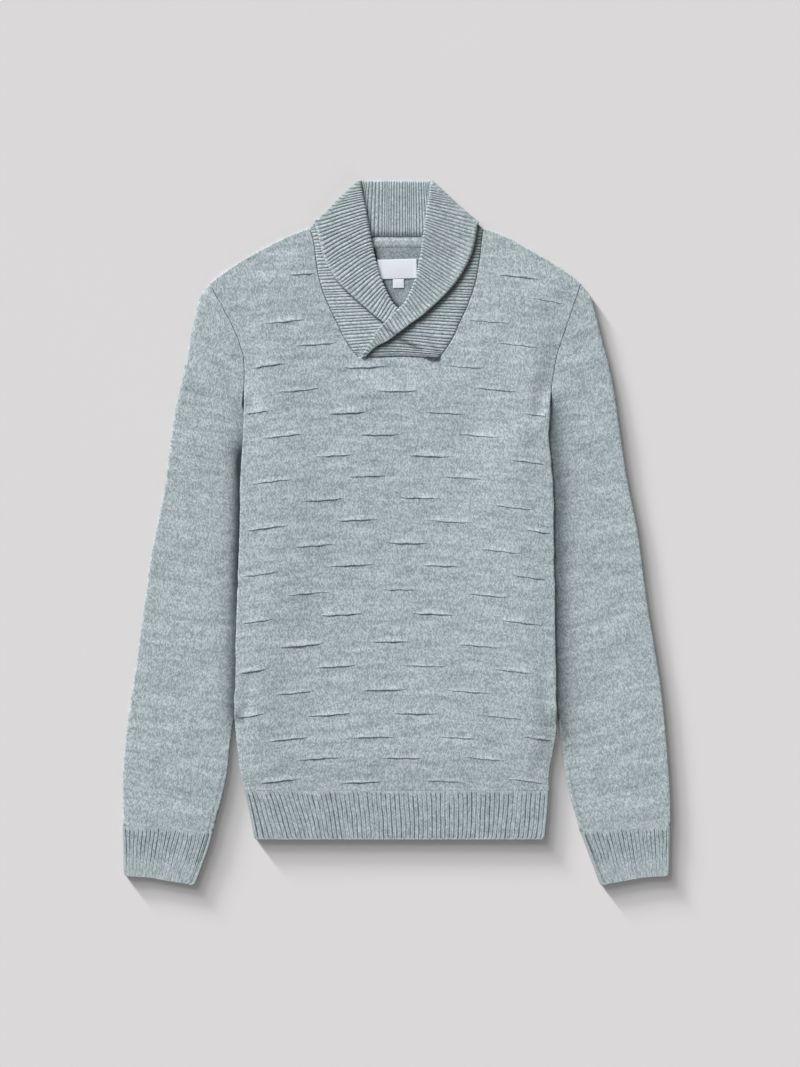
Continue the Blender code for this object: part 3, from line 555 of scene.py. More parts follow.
def front_patches():
    """The front's outline, and a function from columns and rows to points: a block with two lobes on it."""
    left, right = side_line(-1), side_line(1)
    run = front_neck_run()
    neck_left, neck_right = (
        np.concatenate([beside_neck(side, run), neck_corner(side)[None]]) for side in (-1, 1))
    foot_y = neck_right[0, 1]
    split = (foot_y - HEM_SEAM_Y) / (SHOULDER_TIP_Y - HEM_SEAM_Y)
    lobe = near_ends(LOBE_WIDTH, FRONT_ACROSS)
    gap = near_ends(NECK_FOOT_WIDTH, FRONT_ACROSS)
    across = np.concatenate([lobe, 1.0 + gap[1:], 2.0 + lobe[1:]])
    block = near_ends(foot_y - HEM_SEAM_Y, FRONT_UP)
    up = np.concatenate([block, 1.0 + near_ends(LOBE_HEIGHT, FRONT_UP)[1:]])
    corner = (neck_left[0], neck_right[0])
    low_left, low_right = left(0.0), right(0.0)
    low = [blend(low_left, low_right, share) for share in FRONT_PARTING]
    stops = (low_left, low[0], low[1], low_right)
    tops = (left(split), corner[0], corner[1], right(split))
    columns = (
        lambda s: left(s * split),
        along([low[0], corner[0]]),
        along([low[1], corner[1]]),
        lambda s: right(s * split),
    )
    lobes = (
        (lambda s: left(blend(split, 1.0, s)), along(neck_left), along(shoulder_chain(-1)[::-1])),
        (along(neck_right), lambda s: right(blend(split, 1.0, s)), along(shoulder_chain(1))),
    )

    def spot(column, row):
        a, u = across[column], up[row]
        made = np.zeros(np.shape(a) + (2,))
        for part in range(3):
            here = (a >= part) & (a <= part + 1) & (u <= 1.0)
            foot, top = along(stops[part:part + 2]), along(tops[part:part + 2])
            made[here] = coons(columns[part], columns[part + 1], foot, top, a[here] - part, u[here])
        for part, (first, second, top) in zip((0, 2), lobes):
            here = (a >= part) & (a <= part + 1) & (u > 1.0)
            made[here] = coons(first, second, along(tops[part:part + 2]), top, a[here] - part, u[here] - 1.0)
        return made

    share = np.linspace(0.0, 1.0, 120)
    outline = np.concatenate([
        along([low_left, low_right])(share), right(share), shoulder_chain(1)[::-1],
        along(neck_right)(share[::-1]), along(neck_left)(share), shoulder_chain(-1), left(share[::-1])])
    sizes = (len(lobe) - 1, len(lobe) + len(gap) - 2, len(across) - 1, len(block) - 1, len(up) - 1)
    return outline, spot, sizes


def make_front():
    outline, spot, (hole_from, hole_to, columns, foot_row, rows) = front_patches()
    size = (columns, rows, lambda column, row: hole_from < column < hole_to and row > foot_row)
    front = make_panel("front_panel", size, spot, outline, lambda x, y, inside, face: front_mid(outline, x, y))
    return front, outline


# How far the rows of tucks bow up along the middle of the body: height, bow
TUCK_BOW = np.array(((-275.0, 0.0), (-180.0, 5.0), (-71.0, 9.0), (-42.0, 10.5), (9.0, 9.0), (50.0, 6.7),
                     (87.0, 3.4), (150.0, 0.0)))


def tuck_shift(x, y):
    """How far a tuck of this garment lies over its even place: up in the middle, down below and at the right."""
    bow = np.interp(y, *TUCK_BOW.T) * smooth(-145.0, -60.0, x) * smooth(122.0, 52.0, x)
    low = 5.0 * smooth(-85.0, -125.0, y) * smooth(-268.0, -225.0, y)
    return bow - low - 4.5 * smooth(120.0, 155.0, x) * smooth(-120.0, 0.0, y)


def tuck_lines(outline):
    """Each tuck as its centre, its reach to the left and right, and its direction."""
    found = []
    for column in TUCK_COLUMNS:
        odd = column % 2
        base = TUCK_COLUMN * column + TUCK_ODD_SHIFT * odd
        for row in TUCK_ROWS:
            rise = TUCK_ROW * (row + 0.5 * odd)
            lean = TUCK_LEAN + TUCK_LEAN_GAIN * base
            centre = np.array((TUCK_ORIGIN[0] + base + rise * lean + TUCK_LEAN_CURVE * rise**3,
                               TUCK_ORIGIN[1] + rise))
            centre[1] += tuck_shift(*centre)
            angle = TUCK_FAN * centre[0]
            ahead = np.array((math.cos(angle), math.sin(angle)))
            ends = []
            for way in (-1.0, 1.0):
                reach = TUCK_LENGTH / 2
                while reach > 0.0 and clearance(outline, *(centre + ahead * way * reach)[:, None])[0] < TUCK_CLEAR:
                    reach -= TUCK_SHORTENING
                ends.append(reach)
            if sum(ends) >= TUCK_SHORTEST and min(ends) > 0.0:
                found.append((centre, *ends, ahead))
    return found


# A tuck's section: distance behind its lip, height, and how much painted shade darkens the crease
TUCK_SECTION = (
    (9.5, -0.35, 0.0), (7.0, -0.02, 0.0), (4.4, 0.28, 0.0), (2.4, 0.74, 0.0), (1.1, 1.1, 0.0), (0.3, 1.22, 0.0),
    (-0.3, 1.02, 0.1), (-0.5, 0.62, 0.5), (-0.2, 0.3, 1.0), (0.0, 0.1, 1.0), (-1.2, 0.08, 1.0),
    (-2.0, 0.05, 0.5), (-3.0, -0.35, 0.0),
)
TUCK_SEGMENTS = 22
TUCK_HEIGHTS = (0.62, 0.92)
TUCK_SHIFTS = (-0.6, 0.6)
TUCK_BENDS = (-0.9, 0.9)
# The painted shade in a tuck's crease lies between these; it and the height grow fainter to the right
TUCK_CREASE_SHADES = (0.14, 0.46)
TUCK_LENGTHS = (0.86, 1.0)
FAINTER_TO_RIGHT = (20.0, 90.0)
FAINTER_HEIGHT = 0.2
FAINTER_CREASE_SHADE = 0.45
TUCK_ENDS_POWER = 2.8
TUCK_ROOT_DEPTH = 0.12


def make_tucks(outline):
    """The pin tucks: short folds that rise from the front and lip over a crease darkened with painted shade."""
    cloth = Cloth()
    back, level, crease_shade = np.array(TUCK_SECTION).T
    for centre, left, right, ahead in tuck_lines(outline):
        down = np.array((ahead[1], -ahead[0]))
        seed = random.random()
        fainter = float(smooth(*FAINTER_TO_RIGHT, centre[0]))
        height = random.uniform(*TUCK_HEIGHTS) * (1.0 - FAINTER_HEIGHT * fainter)
        shift = random.uniform(*TUCK_SHIFTS)
        bend = random.uniform(*TUCK_BENDS)
        dark = random.uniform(*TUCK_CREASE_SHADES) * (1.0 - FAINTER_CREASE_SHADE * fainter)
        left, right = left * random.uniform(*TUCK_LENGTHS), right * random.uniform(*TUCK_LENGTHS)
        cloth.grid(TUCK_SEGMENTS, len(TUCK_SECTION) - 1)
        cloth.thicken()

        def place(column, row, face):
            share = 2.0 * column / TUCK_SEGMENTS - 1.0
            reach = np.where(share < 0.0, share * left, share * right)
            full = np.maximum(0.0, 1.0 - np.abs(share) ** TUCK_ENDS_POWER) * height
            full = full * (1.0 + 0.14 * np.sin(7.0 * share + 20.0 * seed))
            bow = bend * (1.0 - share * share) + 0.25 * np.sin(9.0 * share + 11.0 * seed)
            behind = back[row] * (0.35 + 0.65 * full) - bow - shift
            spot = centre + ahead * reach[:, None] - down * behind[:, None]
            x, y = spot.T
            ground = front_mid(outline, x, y)
            raised = level[row] * np.where(level[row] > 0.0, full, 1.0) - TUCK_ROOT_DEPTH * (1.0 - full)
            z = ground + PANEL_WALL / 2 + raised
            z = np.where(face < 0, np.minimum(z - 0.5, ground + 0.2), z)
            return np.stack([x, y, z], 1)

        def knit(column, row):
            share = 2.0 * column / TUCK_SEGMENTS - 1.0
            spot = centre + ahead * (share * (left + right) / 2)[..., None] - down * back[row][..., None]
            return knit_rows(spot[..., 0], spot[..., 1])

        def tint(column, row, face):
            # painted shade in the crease under the lip, fading out at the tuck's ends
            share = 2.0 * column / TUCK_SEGMENTS - 1.0
            ends = np.clip(1.15 - np.abs(share) ** 4, 0.0, 1.0)
            return crease_shade[row] * dark * ends, np.zeros(len(column))

        cloth.settle(place, knit, tint)
    return cloth.piece("pin_tucks", melange)


# --- collar ---

def arc_places():
    """The place of each tabled rib: its mean distance along the band from the front end."""
    table = np.array(COLLAR)
    steps = [length_of(np.diff(table[:, first:first + 2], axis=0)) for first in (0, 2)]
    return np.concatenate([[0.0], np.cumsum(sum(steps) / 2)])


PlacedRib = namedtuple("PlacedRib", ("place",) + Rib._fields)
PLACED = [PlacedRib(place, *rib) for place, rib in zip(arc_places(), COLLAR)]
BAND_HALF = PLACED[-1].place
band_at = {name: curve(PLACED, "place", name) for name in Rib._fields}
roll_x_by_y, edge_x_by_y = (curve(COLLAR[:9], name + "_y", name + "_x") for name in ("roll", "edge"))
BAND_END_REACH = 40.0
WRAP_ON_STAND = (-12.0, -1.5)
WRAP_ON_FALL = (-10.0, -1.0)
STAND_RISES = (200.0, 218.0)


def band_point(name, place):
    return pair(band_at[name + "_x"](place), band_at[name + "_y"](place))


def beside_neck(side, points):
    """Points that are measured from the neck's centre, on one side of it."""
    return pair(NECK_CENTRE + side * points[:, 0], points[:, 1])


def past_fold(spread):
    return (spread - FOLD_POINT) @ FOLD_OUT


def band_gap(place, share):
    """Distance between stand and fall, fuller towards the roll and flatter at the band's end."""
    full = BAND_GAP + ROLL_EXTRA * smooth(0.5, 1.0, share)
    return blend(BAND_GAP_END, full, smooth(0.0, BAND_END_REACH, place))


def wrap_lift(x, y):
    """How far the right front rises where it lies on the left one."""
    on_stand = smooth(*WRAP_ON_STAND, -roll_x_by_y(y) - x)
    return on_stand * (WRAP_UNDER + WRAP_OVER * smooth(*WRAP_ON_FALL, x + edge_x_by_y(y)))


def turned(side, spread, height, place, across, share):
    """Collar points from their spots in the spread band: round the side fold and down onto what is below."""
    past = past_fold(spread)
    foot = spread - past[..., None] * FOLD_OUT
    angle = math.pi * (np.clip(past / FOLD_LENGTH, 0.0, 1.0) - 0.5)
    straight = np.maximum(0.0, np.maximum(-past, past - FOLD_LENGTH))
    plan = foot + FOLD_OUT * ((FOLD_RADIUS + height) * np.cos(angle) - straight)[..., None]
    ramp = np.minimum(1.0, across / SEAM_RAMP)
    back_level = COLLAR_HALF_WALL + band_gap(place, share) * ramp
    z = back_level + FOLD_RADIUS - (FOLD_RADIUS + height) * np.sin(angle)
    x, y = plan[..., 0], plan[..., 1]
    settled = FRONT_LEVEL + STAND_RISE * ramp * smooth(*STAND_RISES, y)
    drop = np.clip((SETTLE_FROM_Y - y) / (SETTLE_FROM_Y - SETTLE_TO_Y), 0.0, 1.0)
    front = drop * (settled - back_level - 2 * FOLD_RADIUS) + np.where(side > 0, wrap_lift(x, y), 0.0)
    z = z + np.where(past < 0.0, front, 0.0)
    return np.stack([NECK_CENTRE + side * x, y, np.maximum(0.0, z)], -1)


def place_past(name, past):
    """Where along the band its seam, roll or edge stands this far past the side fold."""
    low, high = PLACED[7].place, PLACED[12].place
    for _ in range(40):
        middle = (low + high) / 2
        if past_fold(band_point(name, middle)) < past:
            low = middle
        else:
            high = middle
    return low


def neck_run(start, finish, count):
    """Points of a panel's right neck edge, from the neck's centre: outside the collar's seam by the gap."""
    place = np.linspace(start, finish, count + 1)
    ahead = band_point("seam", place + 0.5) - band_point("seam", place - 0.5)
    ahead /= length_of(ahead)[:, None]
    spread = band_point("seam", place) + np.stack([ahead[:, 1], -ahead[:, 0]], 1) * SEAM_GAP
    flat = np.zeros(len(place))
    return beside_neck(-1, turned(-1, spread, flat + COLLAR_HALF_WALL + SEAM_GAP, place, flat, flat))


def neck_corner(side):
    """Where a panel's neck edge meets its shoulder, beside the fold of the collar's seam."""
    middle = place_past("seam", FOLD_LENGTH / 2)
    tip = neck_run(middle, middle, 1)[0] + NECK_CORNER
    return np.array((NECK_CENTRE + side * tip[0], tip[1]))


NECK_PART = 1.5


def front_neck_run():
    """The front's right neck edge from the straight foot up to the fold."""
    run = neck_run(0.0, place_past("seam", -NECK_PART), 40)
    run[0, 1] = COLLAR[0].seam_y - SEAM_GAP
    return run


def back_neckline():
    """From the right shoulder along the shallow back neck to the left shoulder."""
    run = neck_run(place_past("seam", FOLD_LENGTH + NECK_PART), BAND_HALF - 1.0, 30)
    return np.concatenate([beside_neck(1, run), beside_neck(-1, run[::-1])])


STAND_ROWS = 23
ROLL_ROWS = 6
FALL_ROWS = 16
FALL_FIRST = STAND_ROWS + ROLL_ROWS
BAND_ROWS = FALL_FIRST + FALL_ROWS
COLLAR_RIBS_HALF = 74
RIB_COLUMNS = 7
BAND_MIDDLE = RIB_COLUMNS * COLLAR_RIBS_HALF
RIB_WAVE = 0.38
RIB_GROOVE = 0.17
BIND = (0.2, 2.0)
BAND_END = (-0.2, 3.0)
SIDE_FOLD_REACH = 4.0
SIDE_FOLD_FLATTENS = 0.92
CURL_BEGINS, CURL_ENDS = (22.0, 60.0), (205.0, 150.0)
CURL_RIGHT, CURL_LEFT = 1.6, 0.5
CURL_REACH = 8.0
NO_RIM = 99.0
# The ribs stand closer together along the stand, and closer still behind the neck: how much, from, to
RIB_CROWDING = ((0.17, 40.0, 110.0), (0.32, 135.0, 215.0))
LEAN_RIGHT, LEAN_LEFT = 6.5, 8.5
ROLL_SEEN = (60.0, BAND_HALF - 4.0)
EDGE_SEEN = (0.0, 185.0)
# Painted shades by the folds and edges of the collar, in the crease by each roll and under the edge of each fall:
# each a depth and a reach
LEFT_ROLL_SHADE = ((0.9, 3.6), (0.28, 8.0))
RIGHT_ROLL_SHADE = ((0.25, 2.0),)
RIGHT_EDGE_SHADE = ((0.5, 4.4), (0.28, 10.0))
LEFT_EDGE_SHADE = ((0.3, 3.0),)
STAND_FRONT = 150.0
RIGHT_STAND_FRONT = 190.0


def crowded(length, centre, rows):
    """Distances along a rib: even, but closer together at its start and where it passes a fold."""
    fine = np.linspace(0.0, length, 241)
    density = 1.0 + 3.2 * bell(fine, centre, 4.5) + 0.8 * (fine < 6.0)
    total = np.concatenate([[0.0], np.cumsum((density[1:] + density[:-1]) / 2)])
    return np.interp(np.linspace(0.0, total[-1], rows + 1), total, fine)


def lean(side, place):
    """How far ahead a rib of the fall has run when it comes to the fall's edge."""
    most = np.where(side > 0, LEAN_RIGHT, LEAN_LEFT)
    return most * smooth(18.0, 85.0, place) * smooth(BAND_HALF - 6.0, 196.0, place)


def rib_shape(phase):
    """The height across one rib, its groove at the middle of the phase: broad ridges, narrow grooves."""
    return 1.0 - 2.0 * bell(phase % 1.0, 0.5, RIB_GROOVE)


def band_table():
    """For every column of the band: its place, and how far along the stand and the fall its rows are."""
    fine = np.linspace(0.0, BAND_HALF, 400)
    ribs = np.cumsum(1.0 + sum(more * smooth(low, high, fine) for more, low, high in RIB_CROWDING))
    half = np.interp(np.linspace(0.0, 1.0, BAND_MIDDLE + 1), (ribs - ribs[0]) / (ribs[-1] - ribs[0]), fine)
    places = np.concatenate([half, half[-2::-1]])
    stand, fall = [], []
    for column, place in enumerate(places):
        seam, roll = band_point("seam", place), band_point("roll", place)
        edge = band_point("edge", place - lean(-1.0 if column < BAND_MIDDLE else 1.0, place))
        for start, finish, rows, kept in ((seam, roll, STAND_ROWS, stand), (roll, edge, FALL_ROWS, fall)):
            length = length_of(finish - start)
            low, high = past_fold(start), past_fold(finish)
            crossing = length * (FOLD_LENGTH / 2 - low) / (high - low) if abs(high - low) > 1e-6 else -99.0
            kept.append(crowded(length, crossing, rows))
    return places, np.array(stand), np.array(fall)


def to_line(name, side, span, x, y):
    """Distance of each spot to a line of the spread band on one side."""
    line = beside_neck(side, band_point(name, np.linspace(*span, 60)))
    spots = pair(x, y)
    nearest = np.full(len(spots), 1.0e6)
    for start, finish in zip(line[:-1], line[1:]):
        run = finish - start
        share = np.clip((spots - start) @ run / (run @ run), 0.0, 1.0)
        nearest = np.minimum(nearest, length_of(spots - start - share[:, None] * run))
    return nearest


def roll_crease_shade(x, y):
    """Painted shade in the crease where the left roll stands over the inside of the neck, and a thin one at the
    right.
    """
    left, right = (to_line("roll", side, ROLL_SEEN, x, y) for side in (-1, 1))
    return fading(left, LEFT_ROLL_SHADE) + fading(right, RIGHT_ROLL_SHADE)


def make_collar():
    """One ribbed band: up the stand, over the roll and down the fall, its ribs running across it."""
    places, stand, fall = band_table()
    cloth = Cloth()
    cloth.grid(2 * BAND_MIDDLE, BAND_ROWS)
    cloth.thicken()
    turn = np.linspace(0.0, math.pi, ROLL_ROWS + 1)
    kept = {}

    def ribs(column, face):
        """The rib's wave on a face of the band, 1 on a ridge and -1 in a groove."""
        return rib_shape(column / RIB_COLUMNS + np.where(face < 0, 0.5, 0.0))

    def rows_along(column, row):
        """How far along the stand and along the fall a row is."""
        return stand[column, np.minimum(row, STAND_ROWS)], fall[column, np.clip(row - FALL_FIRST, 0, FALL_ROWS)]

    def place(column, row, face):
        side = np.where(column < BAND_MIDDLE, -1.0, 1.0)
        at = places[column]
        seam, roll, edge = band_point("seam", at), band_point("roll", at), band_point("edge", at - lean(side, at))
        width, fall_width = length_of(roll - seam), length_of(edge - roll)
        out, back = (roll - seam) / width[:, None], (edge - roll) / fall_width[:, None]
        along_stand, along_fall = rows_along(column, row)
        on_stand, on_fall = seam + out * along_stand[:, None], roll + back * along_fall[:, None]
        # 0 on the stand, 1 on the roll, 2 on the fall
        part = (row > STAND_ROWS).astype(int) + (row >= FALL_FIRST)
        rim = np.choose(part, [along_stand, np.full(len(at), NO_RIM), fall_width - along_fall])
        folded = past_fold(np.where(part[:, None] == 2, on_fall, on_stand))
        side_fold = bell(folded, FOLD_LENGTH / 2, SIDE_FOLD_REACH)
        wave = RIB_WAVE * ribs(column, face) * smooth(*BIND, rim) * smooth(*BAND_END, at)
        offset = face * (COLLAR_HALF_WALL - RIB_WAVE + wave * (1.0 - SIDE_FOLD_FLATTENS * side_fold))

        radius = band_gap(at, 1.0) / 2
        angle = turn[np.clip(row - STAND_ROWS, 0, ROLL_ROWS)]
        on_roll = roll + out * ((radius + offset) * np.sin(angle))[:, None]
        under = 1.0 - along_fall / width
        curl = smooth(*CURL_BEGINS, at) * smooth(*CURL_ENDS, at) * np.where(side > 0, CURL_RIGHT, CURL_LEFT)
        raised = curl * bell(along_fall, fall_width, CURL_REACH) * smooth(0.0, 12.0, along_fall)
        made = turned(
            side, np.choose(part[:, None], [on_stand, on_roll, on_fall]),
            np.choose(part, [-offset, radius - (radius + offset) * np.cos(angle),
                             band_gap(at, under) + offset + raised]),
            at, np.choose(part, [along_stand, width, width - along_fall]),
            np.choose(part, [along_stand / width, np.ones(len(at)), under]))
        made[column == BAND_MIDDLE, 0] = NECK_CENTRE
        made[:, 1] -= 0.7 * smooth(2.0, 0.0, at)
        made[:, 2] -= np.where(side > 0, 1.0, 0.5) * smooth(4.5, 0.0, at)
        # tint reads these spots after they have been laid, as they are kept by reference
        kept["plan"] = made[:, :2]
        # painted shade on the turned edge at the side fold, stronger on the left
        kept["turned_edge"] = side_fold * np.where(side < 0, 0.42, 0.15)
        return made

    def knit(column, row):
        along_stand, along_fall = rows_along(column, row)
        return pair(column * RIB_NOMINAL / RIB_COLUMNS,
                    along_stand + np.clip(row - STAND_ROWS, 0, ROLL_ROWS) + along_fall)

    def tint(column, row, face):
        at, x, y = places[column], *kept["plan"].T
        left, right, standing = column < BAND_MIDDLE, column > BAND_MIDDLE, row <= STAND_ROWS
        seen = standing & (face < 0)
        # The groove: painted shade in the rib grooves, weaker on the front of the left stand and further back on the
        # right fall, and lighter along the free edge at the front
        edge = smooth(BAND_ROWS - 1.2, BAND_ROWS - 0.2, row) * smooth(215.0, 175.0, at)
        groove = (0.5 - 0.5 * ribs(column, face)) * (1.0 - edge) - 0.7 * edge
        groove = groove * np.where(standing & left & (at < STAND_FRONT), 0.66, 1.0)
        groove = groove * np.where(~standing & right, 0.97 - 0.3 * smooth(115.0, 165.0, at), 1.0)
        # the right fall a little darker all over; painted shade on the turned edge, under the edge of each fall on
        # its stand, and in the crease by the roll
        shade = kept["turned_edge"] + 0.06 * (~standing & right)
        shade += (seen & right & (at < RIGHT_STAND_FRONT)) * fading(
            to_line("edge", 1, EDGE_SEEN, x, y), RIGHT_EDGE_SHADE)
        shade += (seen & left & (at < STAND_FRONT)) * fading(to_line("edge", -1, EDGE_SEEN, x, y), LEFT_EDGE_SHADE)
        return shade + (seen & (at > STAND_FRONT)) * roll_crease_shade(x, y), groove

    cloth.settle(place, knit, tint)
    return cloth.piece("shawl_collar", ribbing)


# --- sleeves, cuffs and hem ---

def sleeve_corner(side, edge, place):
    """A spot on a sleeve's outer or inner edge. The inner one starts beside the body's side."""
    x, y = sleeve_at[edge + "_x"](place), sleeve_at[edge + "_y"](place)
    if edge == "outer":
        sway = 0.7 * math.sin(2.3 * place + side) * smooth(1.0, 3.0, place)
        x, y = x + 3.0 * bell(place, 0.5, 0.4) + sway, y + 2.2 * bell(place, 0.45, 0.35)
    else:
        beside = abs(body_edge(side, y)) + SEAM_GAP + 0.9 * place
        x = blend(beside, x, smooth(1.0, 1.5, place)) - 3.6 * bell(place, 9.8, 0.9)
    return np.array((side * float(x), float(y)))


def sleeve_line(side, place):
    """Across the sleeve from its outer to its inner edge, bowed to the armhole at its head."""
    outer, inner = (sleeve_corner(side, edge, place) for edge in ("outer", "inner"))
    head = [sleeve_corner(side, edge, 0.0) for edge in ("outer", "inner")]
    hold = 1.0 - smooth(0.0, 3.5, place)

    def line(share):
        share = np.asarray(share, float)[..., None]
        y = blend(SHOULDER_TIP_Y, UNDERARM_Y, share[..., 0])
        armhole = pair(body_edge(side, y) + side * SEAM_GAP, y)
        return blend(outer, inner, share) + (armhole - blend(*head, share)) * hold

    ahead = sleeve_corner(side, "inner", place + 0.1) - inner
    across = (inner - outer) / length_of(inner - outer)
    ahead = ahead / length_of(ahead)
    slant = min(SLANT_MOST, 1.0 / max(0.1, abs(across[0] * ahead[1] - across[1] * ahead[0])))
    return line, float(length_of(outer - inner)), slant


def ring_steps(curl, top, under, close=()):
    """Places round a flattened tube: its outer edge, the top, its inner edge and the underside."""
    parts = [np.linspace(quarter / 4, (quarter + 1) / 4, count, endpoint=False)
             for quarter, count in enumerate((curl, top, curl, under))]
    return np.unique(np.concatenate(parts + [0.25 + 0.25 * np.array(close), [1.0]]))


def sides_of(places):
    """The side of a flattened tube that each place is on, 0 outer, 1 top, 2 inner, 3 under, and its share of it."""
    side = np.minimum(3, (places * 4).astype(int))
    return side, places * 4 - side


def flat_ring(line, width, slant, inset, height, places, puff=0.0):
    """Points round a flattened tube at the given places, and how far across it each is."""
    low, top = inset, height - inset
    radius = (top - low) / 2
    edge = slant * (inset + radius)
    flat = width - 2 * edge
    quarter, share = sides_of(places)
    curl = math.pi * share
    reach = slant * (inset + radius * (1.0 - np.sin(curl)))
    distance = np.choose(quarter, [reach, edge + flat * share, width - reach, width - edge - flat * share])
    z = np.choose(quarter, [
        low + radius * (1.0 - np.cos(curl)),
        top + puff * np.sin(math.pi * share),
        low + radius * (1.0 + np.cos(curl)),
        np.full(len(places), low)])
    spot = line(distance / width)
    return np.stack([spot[:, 0], spot[:, 1], z], 1), distance


def tube(name, finish, rings, knit, shades, grooves):
    """A closed cloth through rings of points, each row of shades and grooves for one of them."""
    rings, shades, grooves = np.array(rings), np.array(shades), np.array(grooves)
    cloth = Cloth()
    cloth.grid(rings.shape[1] - 1, len(rings) - 1)
    cloth.settle(lambda column, row, face: rings[row, column],
                 lambda column, row: knit(column, row, rings[row, column]),
                 lambda column, row, face: (shades[row, column], grooves[row, column]))
    return cloth.piece(name, finish)


# Soft folds across a sleeve, on the right side: from, to, half width, height
SLEEVE_FOLDS = (
    ((246.0, 214.0), (196.0, 176.0), 9.0, 0.8),
    ((238.0, 246.0), (198.0, 226.0), 7.0, 0.5),
    ((254.0, 176.0), (206.0, 150.0), 10.0, -0.9),
    ((258.0, 120.0), (196.0, 98.0), 12.0, 0.7),
    ((264.0, 62.0), (190.0, 52.0), 11.0, -0.7),
    ((276.0, 6.0), (190.0, -14.0), 12.0, 0.7),
    ((288.0, -56.0), (192.0, -40.0), 11.0, -0.6),
    ((292.0, -112.0), (196.0, -126.0), 13.0, 0.6),
    ((304.0, -170.0), (208.0, -186.0), 10.0, -0.6),
    ((308.0, -236.0), (206.0, -214.0), 11.0, 0.6),
    ((312.0, -286.0), (212.0, -296.0), 9.0, -0.6),
    ((314.0, -318.0), (214.0, -322.0), 6.0, 0.5),
)
LEFT_FOLDS_SHIFT = (3.0, 7.0)
SLEEVE_RIPPLES = ((0.3, 30.0, 9.0, 2.0), (0.2, 14.0, 6.0, 5.0))
# Painted shades of a sleeve beside the body and at the left underarm: each a depth and a reach
LEFT_GAP_SHADE = ((0.88, 8.5), (0.24, 19.0))
LEFT_UNDERARM_SHADE = ((0.34, 15.0),)
RIGHT_GAP_SHADE = ((0.68, 13.5), (0.2, 26.0))


def painted_shade_beside_body(side, x, y):
    """Painted shade on a sleeve in the gap beside the body, where little light falls."""
    away = np.maximum(0.0, side * (x - body_edge(side, y)))
    if side < 0:
        gap_shade = fading(away, LEFT_GAP_SHADE) * smooth(125.0, 75.0, y) * (0.8 + 0.2 * smooth(-120.0, -30.0, y))
        gap_shade = gap_shade * smooth(-250.0, -200.0, y)
        return gap_shade + fading(away, LEFT_UNDERARM_SHADE) * smooth(175.0, 130.0, y) * smooth(40.0, 100.0, y)
    gap_shade = fading(away, RIGHT_GAP_SHADE) * smooth(178.0, 115.0, y) * smooth(-275.0, -225.0, y)
    return gap_shade * (1.0 - 0.62 * bell(away, 0.0, 3.0))


def seam_ridge(inner):
    """The raised seam along the inner edge of a sleeve and its cuff, seen where the edge turns up."""
    return bell(inner, 5.6, 0.9)


# Where the sleeve's places stand close together, for its seam: distances from the inner edge over its width
SEAM_CLOSE = 1.0 - np.array((8.0, 6.9, 6.2, 5.6, 5.0, 4.3, 3.2)) / 92.0


def make_sleeve(side, name):
    """A flattened tube, its wall closed at both ends, with soft folds across it."""
    places = ring_steps(9, 40, 22, SEAM_CLOSE)
    quarter = sides_of(places)[0]
    outer = SLEEVE_END * np.linspace(0.0, 1.0, 121) ** 1.05
    outer = np.sort(np.concatenate([outer, [0.004, SLEEVE_END - 0.003]]))
    shift = LEFT_FOLDS_SHIFT if side < 0 else (0.0, 0.0)
    rings, middles, shades = [], [], []

    def bare(place, inset):
        """The middle and the width at a place, and the ring there without its folds."""
        line, width, slant = sleeve_line(side, float(place))
        puff = SLEEVE_PUFF * float(smooth(SLEEVE_END, SLEEVE_END - 0.4, place))
        return line(np.array([0.5]))[0], width, flat_ring(line, width, slant, inset, SLEEVE_HEIGHT, places, puff)

    for place in outer:
        middle, width, (ring, distance) = bare(place, 0.0)
        middles.append(middle)
        x, y = ring[:, 0], ring[:, 1]
        face = np.where(quarter == 3, 0.0, smooth(2.2, 3.6, ring[:, 2]))
        under_body = smooth(2.0, -8.0, np.abs(x) - np.abs(body_edge(side, y))) * smooth(160.0, 140.0, y)
        free = smooth(0.0, 0.7, place) * smooth(SLEEVE_END, SLEEVE_END - 0.4, place) * (1.0 - under_body)
        free = free * smooth(1.0, 10.0, distance) * smooth(width - 1.0, width - 10.0, distance)
        soft = folds(SLEEVE_FOLDS, np.abs(x) + shift[0], y + shift[1]) + ripples(SLEEVE_RIPPLES, x, y, side)
        seam = seam_ridge(width - distance) * smooth(-250.0, -275.0, y) * (quarter == 1)
        ring[:, 2] += (soft * free - 0.35 * under_body) * face - 0.4 * seam
        # painted shade beside the body, and painted shade in the seam's groove
        shades.append(painted_shade_beside_body(side, x, y) * face + 0.35 * seam)
        rings.append(ring)
    rings += [bare(place, SLEEVE_WALL)[2][0] for place in np.linspace(SLEEVE_END, 0.0, 14)]
    rings.append(rings[0])
    across, down = np.array(sorted(middles, key=lambda middle: middle[1])).T

    def knit(column, row, spot):
        """Rows across the sleeve, turned with its run, more so at its head."""
        x, y = spot[..., 0], spot[..., 1]
        turn = 0.19 + 0.5 * smooth(140.0, 285.0, y)
        aside = x - np.interp(y, down, across)
        return pair(aside * np.sqrt(1.0 + turn * turn), y - side * turn * aside)

    plain = np.zeros((len(rings), len(places)))
    return tube(name, melange, rings, knit, [*shades, *plain[len(shades):]], plain)


TUBE_LENGTH = 56.0
